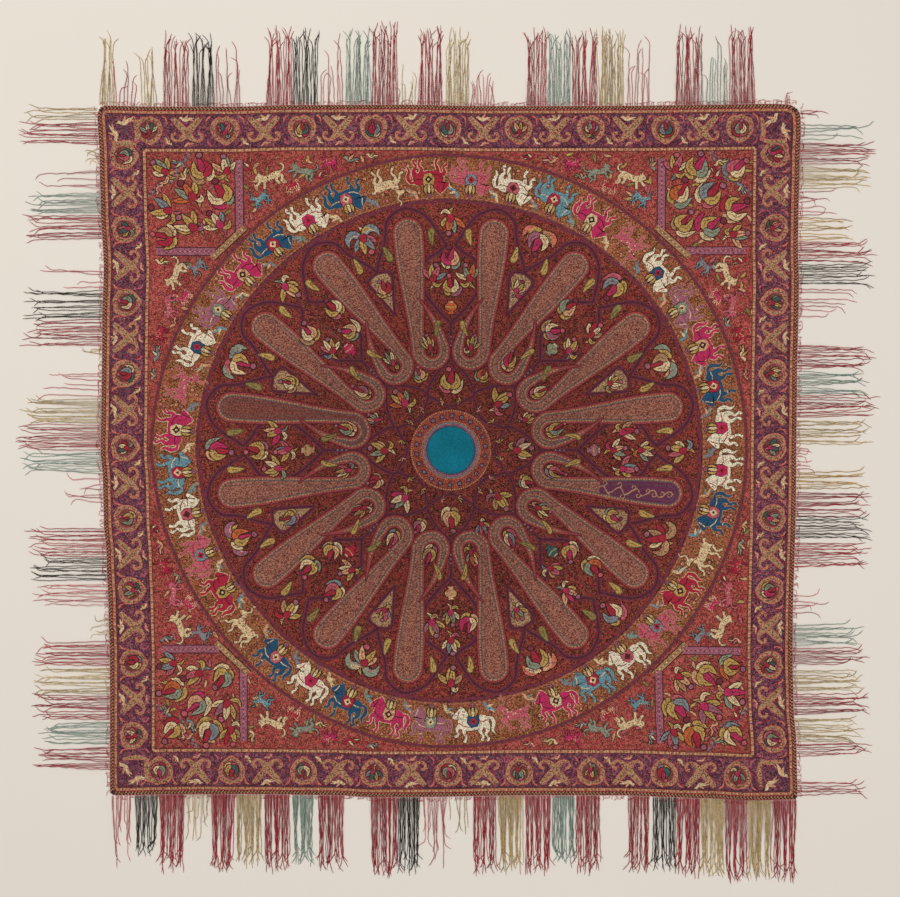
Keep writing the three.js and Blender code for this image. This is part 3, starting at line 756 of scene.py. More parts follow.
def sew_scroll(work, at):
    """A vine of cream spirals down the middle of one violet boteh."""
    vine = []
    for n in range(41):
        share = n / 40 * 0.62
        u = BULB_AT[0] + (NECK_AT[0] - BULB_AT[0]) * share + 9 * math.sin(n * 0.7)
        vine.append((u, BULB_AT[1] + 14 + (NECK_AT[1] - BULB_AT[1]) * share))
    work.stroke([at(u, v) for u, v in vine], 3.4, "tan")
    for n in range(2, 40, 4):
        hand = 1 if n % 8 == 2 else -1
        curl = []
        for k in range(9):
            a = 0.75 * k
            far = 8.5 * (1 - k / 11)
            curl.append((vine[n][0] - hand * 9 + hand * far * math.cos(a),
                         vine[n][1] + far * math.sin(a)))
        work.stroke([at(u, v) for u, v in curl], 2.6, "tan")


rosette_wool = shawl_wool(
    "rosette_wool",
    [(0.25, (142, 36, 44)), (0.27, (38, 26, 17)), (0.16, (96, 42, 34)), (0.12, (66, 22, 30)),
     (0.13, (152, 86, 62)), (0.07, (98, 74, 44))], curl=((148, 64, 56), 12.0, 0.7), near=0.74,
)

# Each row of the lattice's lines: (distance from the moon's middle in photograph pixels,
# degrees from the cell's axis).
CARTOUCHE_SIDE = [(127, 0), (136, 3.7), (149, 7.5), (159, 9.2), (174, 9.7), (187, 8.4),
                  (194, 6.4), (199, 3.5), (206, 1.2)]
LOBED_SIDE = [(126, 0), (137, 4.2), (147, 7.2), (154, 5.6), (162, 9.6), (174, 10), (184, 8.6),
              (193, 5.4), (199, 3.0), (206, 1.2)]
TENDRIL = [(206, 1.2), (215, 2.8), (226, 4.4), (236, 6.2), (243, 8.6), (246.5, 11.25),
           (243, 13.9), (236, 15.9), (226, 16.8), (217, 17.9), (209, 19.4), (199, 21.4),
           (192, 22.5)]
PETAL_SIDE = [(43.5, 0), (46, 8), (52, 16), (59.5, 22.5), (68, 18), (79, 9.5), (90.5, 0)]
KITE_SIDE = [(146, 22.5), (165, 20.3), (184, 18.6), (189, 19.4), (192, 22.5)]


def sew_line(work, table, axis, hand, width=TENDRIL_WIDTH):
    """A plum line of the lattice, dark along its middle."""
    work.start(1)
    route = curve_through(
        [around(radius * CLOTH_PER_PIXEL, axis + hand * degrees) for radius, degrees in table], 9)
    work.stroke(route, width, ["plum", "plum", "wine"], True)
    work.stroke(route, width * 0.42, "plum_dark")


def leaf(work, at, places, width, yarn, rim="ink"):
    """A leaf or a petal along a line: round near its root and pointed at its end."""
    line = curve_through(places, 3)
    last = len(line) - 1
    width *= math.dist(at(0, 0), at(0, 1))
    widths = [width * max(math.sin(math.pi * (n / last) ** 0.7) ** 0.8, 0.1)
              for n in range(last)] + [width * 0.1]
    route = [at(u, v) for u, v in line]
    if rim:
        work.stroke(route, [wide + 4.8 for wide in widths], rim, True)
    work.stroke(route, widths, yarn, not rim)


def bud(work, at, u, v, yarn):
    """A round bud, 14 by 12, in a dark rim."""
    for grown, colour in ((5.4, "ink"), (0, yarn)):
        work.patch(ellipse(at, u, v, 14 + grown, 12 + grown, 0, 10), colour, grown > 0)


def blossom(work, at, u, v, size, petals, yarn, heart):
    """A small flower of round petals about a heart, in a dark rim."""
    for grown, colour in ((2.8, "ink"), (0, yarn)):
        for n in range(petals):
            a = 2 * math.pi * (n + 0.5) / petals
            work.patch(
                ellipse(at, u + size * 0.29 * math.cos(a), v + size * 0.29 * math.sin(a),
                        size * 0.46 + grown, size * 0.38 + grown, math.degrees(a)), colour,
                grown > 0)
    work.patch(ellipse(at, u, v, size * 0.34, size * 0.34, 0, 6), heart)


# Two kinds of bunch: each petal or leaf as its line, its width and which yarn it takes.
TULIP = [([(-2, -30), (-21, -20), (-29, 5)], 14, 0), ([(2, -28), (18, -21), (29, -6)], 13, 1),
         ([(0, -16), (2, 6), (-1, 31)], 17, "heart"), ([(1, -18), (-18, -4), (-13, 23)], 17, 2),
         ([(-1, -18), (18, -4), (13, 19)], 17, 3)]
CARNATION = [([(0, -6), (4, -22), (-6, -36)], 9, 4), ([(2, -18), (15, -26), (25, -16)], 10, 1),
             ([(0, -8), (-19, 5), (-29, 18)], 15, 0), ([(0, -8), (20, 3), (29, 15)], 15, 2),
             ([(0, -8), (-7, 12), (-10, 33)], 16, 3), ([(0, -8), (8, 12), (12, 31)], 16, 0),
             ([(-2, -16), (0, -6), (1, 6)], 17, "heart")]


def nosegay(work, at, yarns, rng, tall=1.0):
    """A bunch, about 70 tall, of one open flower with ribbed petals, its leaves and a bud."""
    work.start(2)
    hand = rng.choice((-1, 1))
    yarns = list(yarns)
    rng.shuffle(yarns)
    for places, width, part in rng.choice((TULIP, CARNATION)):
        bend = rng.uniform(-4, 4)
        line = [(hand * (u + bend * n), v * tall) for n, (u, v) in enumerate(places)]
        yarn = rng.choice(("crimson", "magenta", "crimson")) if part == "heart" else yarns[part]
        leaf(work, at, line, width * rng.uniform(0.9, 1.1), yarn)
        ends = [((line[n][0] + line[1][0]) / 2, (line[n][1] + line[1][1]) / 2) for n in (0, 2)]
        work.stroke([at(*ends[0]), at(*line[1]), at(*ends[1])], 1.7, "umber")
    bud(work, at, hand * 6, 33 * tall, rng.choice(("mauve", "rose", "mauve", "wine")))


def drooping_leaves(work, at, wing, vein):
    """Two broad leaves that droop either side of a bunch."""
    work.start(2)
    for hand in (-1, 1):
        leaf(work, at, [(hand * 3, 8), (hand * 22, 24), (hand * 40, 16), (hand * 44, -4)], 21, wing)
        work.stroke([at(hand * 12, 15), at(hand * 27, 20), at(hand * 38, 10)], 1.8, vein)


def vase(work, at, yarn):
    """A footed vase, 34 high, with two gold bands."""
    work.start(2)
    body = [(-9, 0), (-5, 6), (-15, 14), (-15, 24), (-6, 30), (-8, 35), (8, 35), (6, 30),
            (15, 24), (15, 14), (5, 6), (9, 0)]
    body = curve_through(body, 2, closed=True)
    work.patch([at(u * 1.16, v * 1.08 - 1.4) for u, v in body], "ink", True)
    work.patch([at(u, v) for u, v in body], yarn)
    work.stroke([at(-14, 20), at(0, 17), at(14, 20)], 2.6, "gold")
    work.stroke([at(-6, 32), at(6, 32)], 2.6, "cream")


def bird(work, at, body, wing, rim="ink"):
    """A small bird, about 40 long, that faces along u."""
    work.start(2)
    leaf(work, at, [(-2, 0), (-14, -2), (-27, -7)], 6, wing, rim)
    leaf(work, at, [(-2, 2), (-14, 3), (-28, 2)], 6, body, rim)
    outline = curve_through([(-9, -1), (-2, 6), (9, 7), (14, 13), (20, 12), (25, 9), (19, 6),
                             (12, -3), (0, -7)], 2, closed=True)
    if rim:
        work.patch([at(u * 1.12 - 0.6, v * 1.22 - 0.5) for u, v in outline], rim, True)
    work.patch([at(u, v) for u, v in outline], body, not rim)
    leaf(work, at, [(6, 1), (-1, 8), (-9, 17)], 8, wing, rim)


# The dyes of the bunches, in turn round the rosette.
BUNCHES = [
    ("gold", "cream", "steel", "gold", "rose"), ("cream", "gold", "sage", "peach", "gold"),
    ("gold", "peach", "crimson", "cream", "sand"), ("cream", "gold", "steel", "rose", "gold"),
    ("gold", "cream", "orange", "gold", "sage"), ("peach", "gold", "sage", "magenta", "cream"),
    ("cream", "gold", "mauve", "gold", "sand"),
]
WINGS = [("sage", "pink"), ("salmon", "sand"), ("steel", "cream"), ("sage", "peach"),
         ("mauve", "cream"), ("sage", "pink"), ("salmon", "steel"), ("sand", "moss")]
VASES = ["mauve", "sage", "orange", "magenta", "sand", "crimson", "peach", "teal"]
# The bunches of each kind of cell: (distance from the moon, degrees off the cell's axis, the
# way the bunch leans, size).
CARTOUCHE_BUNCHES = [(452, 6.0, -14, 0.9), (452, -6.0, 14, 0.9), (496, 0, 0, 0.86),
                     (424, 0, 0, 0.8)]
LOBED_BUNCHES = [(404, 4.7, -38, 0.8), (404, -4.7, 38, 0.8), (474, 5.4, -14, 0.86),
                 (474, -5.4, 14, 0.86)]
LEAFY_BUNCH = 586               # how far out the one with drooping leaves lies
chooser = random.Random(5)
bunch_turn = 0

for n in range(8):
    index = n + 1
    wedge = cloth_piece(
        f"rosette_cloth_{index}",
        sector_rows(MOON_RING_RADIUS + SEAM_GAP / 2, ROSETTE_RADIUS - SEAM_GAP / 2, n, SECTOR_ROWS,
                    SECTOR_STEPS),
        rosette_wool, [f"rosette_panel_{index}"],
    )
    work = Stitching(n)
    pair_axis = EIGHTH * (n + 0.5)
    cell_axis = EIGHTH * n
    work.patch([around(radius * CLOTH_PER_PIXEL, pair_axis + degrees) for radius, degrees in (
        (148, 0), (166, -1.7), (183, -3.2), (188, -2.6), (190, 0), (188, 2.6), (183, 3.2),
        (166, 1.7))], "speckled", True)
    work.start(1)
    for hand in (-1, 1):
        sew_line(work, PETAL_SIDE, cell_axis, hand, 10)
        sew_line(work, LOBED_SIDE if n % 2 else CARTOUCHE_SIDE, cell_axis, hand)
        sew_line(work, TENDRIL, cell_axis, hand)
        sew_line(work, KITE_SIDE, cell_axis if hand > 0 else cell_axis + EIGHTH, hand, 9)
    sew_line(work, [(90, 0), (108, 0), (127, 0)], cell_axis, 1, 10)
    work.stroke([around(644 + 2 * math.sin(0.55 * k), cell_axis + EIGHTH * k / 80)
                 for k in range(81)], 7.5, ["wine", "plum", "wine"], True)
    for radius in (270, 281, 292):
        work.patch(ellipse(spot(*around(radius, cell_axis)), 0, 0, 4.4, 4.4, 0, 7), "steel", True)
    for hand in (-1, 1):
        pair = spot(0, 0, pair_axis, 1, hand)
        work.start(1.5)
        odd = hand < 0 and n in (3, 7)
        if odd and n == 7:
            sew_boteh(work, pair, "violet", 62)
            work.start(2)
            sew_scroll(work, pair)
        else:
            sew_boteh(work, pair, "boteh_dark" if odd else "boteh")
        nosegay(work, spot(*pair(52, 270), pair_axis, 0.56), BUNCHES[bunch_turn % 7], chooser, 1.5)
        bunch_turn += 1
        for radius, degrees, turn in ((556, 5.0, 172), (530, 18.0, 6), (318, 6.2, 158)):
            work.start(2)
            root = spot(*around(radius, cell_axis + hand * degrees),
                        cell_axis + hand * (degrees + turn))
            leaf(work, root, [(0, -19), (3, -4), (-2, 23)], 15 if radius > 400 else 11,
                 "gold" if (n + hand) % 3 else "olive", "moss")
            work.stroke([root(1, -8), root(2, 10)], 1.6, "umber")
    bunches = [(cell_axis, *bunch) for bunch in (LOBED_BUNCHES if n % 2 else CARTOUCHE_BUNCHES)]
    bunches += [(cell_axis, 177, 0, 0, 0.95), (pair_axis, 211, 0, 0, 0.6),
                (pair_axis, 450, 0, 0, 0.68), (pair_axis, LEAFY_BUNCH, 0, 180, 1.05),
                (cell_axis, 594, 0, 180, 1.0)]
    for axis, radius, degrees, facing, size in bunches:
        axis += degrees
        if radius == LEAFY_BUNCH:
            drooping_leaves(work, spot(*around(LEAFY_BUNCH + 2, axis), axis, 0.95), *WINGS[n])
        nosegay(work, spot(*around(radius, axis), axis + facing, size),
                BUNCHES[bunch_turn % 7], chooser)
        bunch_turn += 1
    vase(work, spot(*around(352, cell_axis), cell_axis, 0.95), VASES[n])
    for hand in (-1, 1):
        bird(work, spot(*around(128, pair_axis + hand * 12.5), pair_axis + 90, 0.42, hand),
             "gold" if (n + hand) % 3 else "pink", "tan")
    stitching = work.piece(f"rosette_stitching_{index}", "rosette_cloth")

# A band of tan wool runs round the rosette in eight arcs. Prancing horses that carry flowers
# on their saddles, and a few deer, are darned on it with their backs to the moon, among small
# birds and ringed dots.
BAND_RADIUS = 769
BAND_ROWS = 10
BAND_STEPS = 48
BEASTS_IN_AN_EIGHTH = 5
DOTS_IN_AN_EIGHTH = 76

# The outline of each animal, then its legs, tail and crest, each as its line and its widths.
# It stands on v = 0 and faces along u, about 100 long and high.
Beast = namedtuple("Beast", "body limbs tail crest")
HORSE = Beast(
    [(-34, 43), (-46, 52), (-48, 67), (-38, 78), (-18, 79), (-3, 73), (11, 77), (20, 87),
     (27, 97), (33, 103), (40, 98), (50, 88), (57, 79), (52, 73), (44, 76), (41, 70), (42, 57),
     (36, 45), (22, 37), (4, 36), (-14, 38)],
    [([(-38, 54), (-45, 37), (-37, 22), (-45, 8), (-39, 3)], (22, 13, 7, 6, 9)),
     ([(-26, 48), (-21, 32), (-29, 18), (-24, 3)], (18, 10, 6, 9)),
     ([(24, 50), (26, 33), (21, 17), (27, 3)], (17, 10, 6, 9)),
     ([(31, 54), (46, 45), (43, 29), (54, 21)], (17, 10, 6, 9))],
    ([(-45, 70), (-57, 68), (-63, 52), (-58, 34), (-65, 21)], (6, 9, 11, 8, 2)),
    ([(8, 78), (17, 89), (24, 99), (32, 108)], (5, 8, 8, 3)),
)
DEER = Beast(
    [(-30, 46), (-39, 56), (-36, 68), (-22, 72), (2, 67), (13, 71), (20, 81), (26, 91), (34, 94),
     (46, 85), (43, 79), (34, 80), (31, 72), (30, 58), (24, 48), (8, 43), (-10, 44)],
    [([(-29, 54), (-36, 38), (-27, 24), (-38, 9)], (17, 9, 5, 7)),
     ([(-22, 50), (-14, 34), (-21, 20), (-13, 5)], (14, 8, 5, 7)),
     ([(20, 56), (29, 40), (20, 25), (26, 11)], (14, 8, 5, 7)),
     ([(24, 57), (38, 47), (43, 32), (54, 29)], (13, 8, 5, 7))],
    ([(-35, 65), (-44, 72), (-48, 66)], (6, 8, 3)),
    ([(28, 92), (21, 104), (30, 115), (23, 124)], (4, 4, 3.5, 2.5)),
)
LEOPARD = Beast(
    [(-38, 28), (-46, 40), (-40, 54), (-18, 54), (4, 50), (20, 56), (30, 66), (44, 64), (52, 52),
     (43, 45), (34, 40), (26, 30), (6, 28), (-16, 30)],
    [([(-37, 40), (-48, 25), (-39, 12), (-49, 2)], (20, 11, 7, 10)),
     ([(-28, 38), (-23, 20), (-30, 5)], (16, 9, 10)),
     ([(24, 44), (24, 24), (32, 5)], (16, 9, 10)),
     ([(30, 46), (44, 33), (57, 26)], (14, 9, 10))],
    ([(-41, 48), (-58, 51), (-66, 66), (-57, 79)], (7, 6, 6, 4)),
    ([(34, 64), (31, 73)], (7, 4)),
)


def beast(work, at, shape, coat, rim, detail, rug=None):
    """One animal: its outline, its coat, and its harness and saddle rug, or its spots."""
    work.start(2)
    body = curve_through(shape.body, 2, closed=True)
    middle = [sum(p[i] for p in body) / len(body) for i in (0, 1)]
    size = math.dist(at(0, 0), at(0, 1))
    for grown, yarn in ((3.4, rim), (0, coat)):
        for places, widths in [*shape.limbs, shape.tail, shape.crest]:
            line = curve_through(places, 3)
            wide = np.interp(np.linspace(0, len(widths) - 1, len(line)), range(len(widths)), widths)
            work.stroke([at(u, v) for u, v in line], [float(w) * size + grown for w in wide],
                        yarn, grown > 0)
        outline = []
        for u, v in body:
            du, dv = u - middle[0], v - middle[1]
            long = math.hypot(du, dv)
            outline.append(at(u + du / long * grown / 2, v + dv / long * grown / 2))
        work.patch(outline, yarn, grown > 0)
    if rug:
        for route in ([(40, 62), (26, 50), (12, 47)], [(-16, 62), (-32, 60), (-46, 63)],
                      [(44, 76), (39, 86), (36, 97)], [(-38, 30), (-32, 31)], [(20, 27), (27, 27)]):
            work.stroke([at(u, v) for u, v in route], 2.4, detail)
        shawl = [(-18, 80), (11, 79), (15, 60), (5, 44), (-14, 46), (-20, 62)]
        work.patch([at(u * 1.12, v * 1.06 - 3) for u, v in shawl], "ink")
        work.patch([at(u, v) for u, v in shawl], rug)
        work.patch([at(-14, 62), at(-3, 74), at(9, 62), at(-3, 50)], detail)
        work.patch(ellipse(at, -3, 62, 8, 8, 0, 6), "ink" if detail != "ink" else "cream")
        for lean, yarn in ((-11, "gold"), (9, "gold"), (-1, "cream")):
            leaf(work, at, [(-3 + lean * 0.2, 76), (-3 + lean, 90), (-3 + lean * 0.9, 104)], 9, yarn)
        blossom(work, at, -3, 110, 13, 5, "mauve", "ink")
    elif detail:
        for n, (u, v) in enumerate(shape.body[::2]):
            share = 0.35 + 0.32 * (n % 2)
            work.patch(ellipse(at, middle[0] + (u - middle[0]) * share,
                               middle[1] + (v - middle[1]) * share, 5, 5, 0, 6), detail)
    head = max(shape.body, key=lambda place: place[0])
    work.patch(ellipse(at, head[0] - 10, head[1] + 5, 3, 3, 0, 6), "ink")


def ringed_dot(work, x, y, yarn="pink", size=6.4):
    """A round dot in a dark ring."""
    at = spot(x, y)
    work.patch(ellipse(at, 0, 0, size + 3.4, size + 3.4, 0, 7), "maroon", True)
    work.patch(ellipse(at, 0, 0, size, size, 0, 7), yarn)
    work.patch(ellipse(at, 0, 0, size * 0.36, size * 0.36, 0, 5), "wine")


band_wool = shawl_wool(
    "ring_band_wool",
    [(0.26, (142, 99, 60)), (0.24, (86, 54, 31)), (0.2, (140, 58, 42)), (0.10, (178, 132, 88)),
     (0.15, (56, 31, 20)), (0.05, (168, 82, 70))], curl=((170, 90, 68), 12.0, 0.6),
)
# Each animal of the band: (shape, coat, edge, harness or spots, saddle rug).
BAND_BEASTS = [
    (HORSE, "ivory", "umber", "crimson", "magenta"), (HORSE, "blue", "tan", "cream", "crimson"),
    (HORSE, "magenta", "cream", "ink", "peach"), (HORSE, "mauve", "tan", "cream", "sage"),
    (HORSE, "ivory", "umber", "crimson", "blue"), (DEER, "rose", "tan", "cream", None),
    (HORSE, "magenta", "cream", "ink", "cream"), (HORSE, "sky", "umber", "cream", "crimson"),
    (HORSE, "ivory", "umber", "maroon", "rose"), (HORSE, "rose", "tan", "crimson", "steel"),
    (HORSE, "crimson", "cream", "ink", "gold"), (DEER, "cream", "umber", "crimson", None),
    (HORSE, "blue", "tan", "cream", "rose"),
]
BAND_BIRDS = ["steel", "cream", "sky", "peach", "steel", "cream", "sage"]
for n in range(8):
    index = n + 1
    arc_cloth = cloth_piece(
        f"ring_band_cloth_{index}",
        sector_rows(ROSETTE_RADIUS + SEAM_GAP / 2, BAND_RADIUS - SEAM_GAP / 2, n, BAND_ROWS,
                    BAND_STEPS),
        band_wool, [f"ring_band_{index}"],
    )
    work = Stitching(n)
    start = EIGHTH * n
    for _ in range(DOTS_IN_AN_EIGHTH):
        work.start(0)
        ringed_dot(work, *around(chooser.uniform(663, 756), start + chooser.uniform(0.7, 44.3)),
                   chooser.choice(["pink", "peach", "salmon"]), chooser.uniform(5.6, 8.2))
    work.start(1)
    work.stroke(arc(654, start, start + EIGHTH, 80), 3, ["tan_dark", "salmon"], True)
    work.stroke(arc(763.5, start, start + EIGHTH, 90), 7.5, ["wine", "plum", "wine"], True)
    for k in range(BEASTS_IN_AN_EIGHTH):
        step = EIGHTH / BEASTS_IN_AN_EIGHTH
        turn = start + step * (k + 0.5)
        shape, coat, rim, detail, rug = BAND_BEASTS[
            (n * BEASTS_IN_AN_EIGHTH + k) % len(BAND_BEASTS)]
        beast(work, spot(*around(757 - 4 * (k % 2), turn), turn + 180, 0.88, -1), shape, coat, rim,
              detail, rug)
        bird(work, spot(*around(672, turn + step * 0.42), turn + 150, 0.8, -1),
             BAND_BIRDS[(n * 5 + k) % 7], BAND_BIRDS[(n * 5 + k + 3) % 7], None)
    stitching = work.piece(f"ring_band_stitching_{index}", "ring_band_cloth")

# Four corner pieces of red wool fill the square field outside the band. Each has a stepped
# line across its corner and a frame of three patterned bars, with animals and flowers about.
CORNER_ROWS = 22
CORNER_STEPS = 48
SPRIGS_IN_A_CORNER = 120        # tried for; those that would fall on the band are left out
# Each corner: (quarter turns from the first, which way it lies from the moon in x and in y).
CORNERS = {"ne": (0, 1, 1), "nw": (1, -1, 1), "sw": (2, -1, -1), "se": (3, 1, -1)}


def corner_rows(quarter):
    """Rows of places from the band's edge out to the two straight sides of the corner."""
    half = FIELD_HALF - SEAM_GAP / 2
    radius = BAND_RADIUS + SEAM_GAP / 2
    trim = math.degrees(SEAM_GAP / 2 / radius)
    rows = []
    for r in range(CORNER_ROWS + 1):
        share = r / CORNER_ROWS
        row = []
        for n in range(2 * CORNER_STEPS + 1):
            t = n / CORNER_STEPS
            near = around(radius, trim + (90 - 2 * trim) * t / 2)
            along = SEAM_GAP / 2 + (half - SEAM_GAP / 2) * min(t, 2 - t)
            far = (half, along) if t <= 1 else (along, half)
            x, y = (a + share * (b - a) for a, b in zip(near, far))
            for _ in range(quarter):
                x, y = -y, x
            row.append((x, y))
        rows.append(row)
    return rows


corner_wool = shawl_wool(
    "corner_wool",
    [(0.28, (170, 54, 62)), (0.22, (88, 52, 36)), (0.16, (134, 40, 50)), (0.18, (162, 102, 78)),
     (0.16, (60, 36, 26))], curl=((180, 92, 84), 12.0, 0.7),
)

# What lies in each corner: (kind, distance in from the left or right side, distance in from
# the top or bottom side, the way it faces in degrees with 0 away from the left or right side
# and 90 away from the top or bottom, size), and an animal's coat, edge and spots.
CORNER_FIGURES = [
    ("bunch", 44, 46, 225, 1.0), ("bunch", 140, 44, 250, 1.1), ("bunch", 46, 150, 200, 1.1),
    ("bunch", 108, 112, 225, 1.15), ("bunch", 186, 110, 240, 1.1), ("bunch", 108, 194, 210, 1.1),
    ("bunch", 176, 186, 225, 1.0), ("bunch", 200, 42, 270, 0.95), ("bunch", 42, 220, 180, 0.95),
    ("bird", 96, 62, 200, 0.8), ("bird", 84, 28, 100, 0.7), ("bird", 28, 96, 20, 0.7),
    ("leopard", 306, 62, 250, 0.66, "cream", "umber", "umber"),
    ("deer", 288, 124, 230, 0.48, "sky", "ink", "cream"),
    ("leopard", 392, 46, 280, 0.58, "sage", "ink", "crimson"),
    ("deer", 366, 92, 240, 0.38, "crimson", "cream", "gold"),
    ("deer", 462, 34, 262, 0.42, "magenta", "ink", "cream"),
    ("bird", 516, 24, 270, 0.8), ("bird", 438, 66, 250, 0.6), ("bird", 570, 15, 270, 0.6),
    ("leopard", 60, 318, 200, 0.66, "cream", "umber", "umber"),
    ("deer", 124, 300, 220, 0.48, "steel", "ink", "magenta"),
    ("leopard", 46, 404, 170, 0.58, "rose", "ink", "cream"),
    ("deer", 92, 378, 210, 0.38, "magenta", "cream", "gold"),
    ("deer", 34, 474, 188, 0.42, "crimson", "ink", "cream"),
    ("bird", 24, 526, 180, 0.8), ("bird", 66, 446, 200, 0.6), ("bird", 15, 578, 180, 0.6),
    ("bird", 258, 34, 180, 0.7), ("bird", 30, 288, 270, 0.7),
]
BIRD_YARNS = [("cream", "gold"), ("steel", "cream"), ("peach", "rose"), ("sage", "peach"),
              ("crimson", "cream")]
STEP_LINE = [(113, 0), (97, 24), (79, 38), (76, 62), (62, 77), (38, 84), (24, 97), (2, 116)]


def sew_bar(work, at, start, end, width, yarns):
    """A patterned bar between dark edges."""
    ground, edge, dots = yarns
    (p0, q0), (p1, q1) = start, end
    work.start(1)
    work.stroke([at(*start), at(*end)], width, edge, True)
    work.stroke([at(*start), at(*end)], width - 5, ground)
    count = int(math.hypot(p1 - p0, q1 - q0) / 6)
    for n in range(count):
        share = (n + 0.5) / count
        place = spot(*at(p0 + (p1 - p0) * share, q0 + (q1 - q0) * share))
        work.patch(ellipse(place, 0, 0, 4.0, 4.0, 0, 6), dots[n % len(dots)])


for corner, (quarter, sign_x, sign_y) in CORNERS.items():
    spandrel = cloth_piece(f"corner_cloth_{corner}", corner_rows(quarter), corner_wool,
                           [f"corner_panel_{corner}"])
    work = Stitching(quarter)

    def inward(p, q):
        return sign_x * (FIELD_HALF - p), sign_y * (FIELD_HALF - q)

    for _ in range(SPRIGS_IN_A_CORNER):
        p, q = chooser.uniform(10, 640), chooser.uniform(10, 640)
        x, y = inward(p, q)
        if math.hypot(x, y) > BAND_RADIUS + 12:
            work.start(0)
            ringed_dot(work, x, y, chooser.choice(["pink", "salmon", "tan_dark"]), 4.6)
            leaf(work, spot(x + 14, y + 5, chooser.uniform(0, 360)), [(0, -9), (1, 0), (0, 11)], 7,
                 chooser.choice(["gold", "olive", "peach", "rose"]), "umber")
    work.start(1)
    for shift, yarns in ((0, ["slate", "steel"]), (8, ["mauve", "plum"])):
        work.stroke(curve_through([inward(p * (1 - shift / 110), q * (1 - shift / 110))
                                   for p, q in STEP_LINE], 4), 4.5, yarns, True)
    sew_bar(work, inward, (233, 20), (233, 206), 23, ("mauve", "plum_dark", ("pink", "plum")))
    sew_bar(work, inward, (16, 259), (168, 259), 23, ("mauve", "plum_dark", ("pink", "plum")))
    sew_bar(work, inward, (246, 196), (160, 276), 20, ("sand", "ink", ("moss", "cream")))
    for n, (kind, p, q, facing, size, *yarns) in enumerate(CORNER_FIGURES):
        heading = math.radians(facing)
        facing = math.degrees(math.atan2(-sign_y * math.sin(heading),
                                         -sign_x * math.cos(heading)))
        at = spot(*inward(p, q), facing, size, sign_x * sign_y)
        if kind == "bunch":
            nosegay(work, at, BUNCHES[(n + quarter) % 7], chooser)
        elif kind == "bird":
            bird(work, at, *BIRD_YARNS[(n + quarter) % 5])
        else:
            beast(work, lambda u, v: at(u, v - 50), DEER if kind == "deer" else LEOPARD, *yarns)
    stitching = work.piece(f"corner_stitching_{corner}", "corner_cloth")

# A narrow guard stripe runs round the field, a border of roundels and crossed botehs round
# that, and a second guard stripe outside it. Each is four strips, mitred at the corners.
BRAID_WIDTH = 10
GUARD_WIDTH = 10
BRAID_HALF = EDGE_HALF - BRAID_WIDTH
BORDER_HALF = BRAID_HALF - GUARD_WIDTH
INNER_GUARD_HALF = FIELD_HALF + GUARD_WIDTH
CORNER_RADIUS = {"nw": 23, "ne": 30, "se": 10, "sw": 12}
SIDE_STEPS = 120
GUARD_STITCH = 3.6
DOTS_ON_A_BORDER = 200


def side_place(side, share, half, short=SEAM_GAP * math.sqrt(0.5)):
    """A place on a line of one side, share -1 to 1 along it. The ends are rounded where the
    plaited edging turns the corner, and stop half a seam short of the mitre."""
    along, out, corners = SIDES[side]
    radius = max(CORNER_RADIUS[corners[0 if share < 0 else 1]] - (EDGE_HALF - half), 0)
    reach = half - radius * (1 - math.sqrt(0.5)) - short
    s = share * reach
    over = abs(s) - (half - radius)
    a = half if over <= 0 else half - radius + math.sqrt(radius * radius - over * over)
    return s * along[0] + a * out[0], s * along[1] + a * out[1]


def strip_rows(side, inner, outer, rows):
    made = []
    for r in range(rows + 1):
        half = inner + SEAM_GAP / 2 + (outer - inner - SEAM_GAP) * r / rows
        made.append([side_place(side, 2 * n / SIDE_STEPS - 1, half)
                     for n in range(SIDE_STEPS + 1)])
    return made


def side_line(side, half, step, short=1.0):
    count = int(2 * half / step)
    return [side_place(side, 2 * n / count - 1, half, short) for n in range(count + 1)]


guard_wool = shawl_wool(
    "guard_wool",
    [(0.35, (112, 44, 40)), (0.25, (140, 92, 68)), (0.4, (86, 36, 34))],
)
border_wool = shawl_wool(
    "border_wool",
    [(0.30, (88, 38, 62)), (0.26, (54, 25, 42)), (0.15, (104, 78, 94)), (0.13, (148, 52, 64)),
     (0.09, (70, 62, 68)), (0.07, (160, 98, 88))], curl=((158, 94, 98), 12.0, 0.5),
)

# Where the roundels lie along each side, in photograph pixels from its middle.
ROUNDELS = (-296, -222, -148, -77, -3, 68, 140, 213, 286)


def sew_roundel(work, at, yarns):
    """A lobed roundel: a speckled tan rim between thin salmon lines, round a small bunch."""
    work.start(1)
    lobes = [(0, -38), (14, -31), (27, -19), (34, -3), (34, 14), (27, 27), (15, 33), (5, 38),
             (-5, 34), (-18, 34), (-29, 27), (-36, 12), (-35, -5), (-27, -20), (-13, -31)]
    outline = curve_through(lobes, 2, closed=True)
    for share, yarn in ((1.0, "salmon"), (0.93, "speckled"), (0.72, "rose"), (0.66, "boteh_dark")):
        work.patch([at(u * share, v * share) for u, v in outline], yarn, share == 1)
    for n, (u, v) in enumerate(lobes):
        work.patch(ellipse(at, u * 0.8, v * 0.8, 5.0, 3.0, math.degrees(math.atan2(v, u)), 6),
                   "umber" if n % 2 else "rust")
    nosegay(work, lambda u, v: at(u * 0.62, v * 0.62), yarns, chooser)


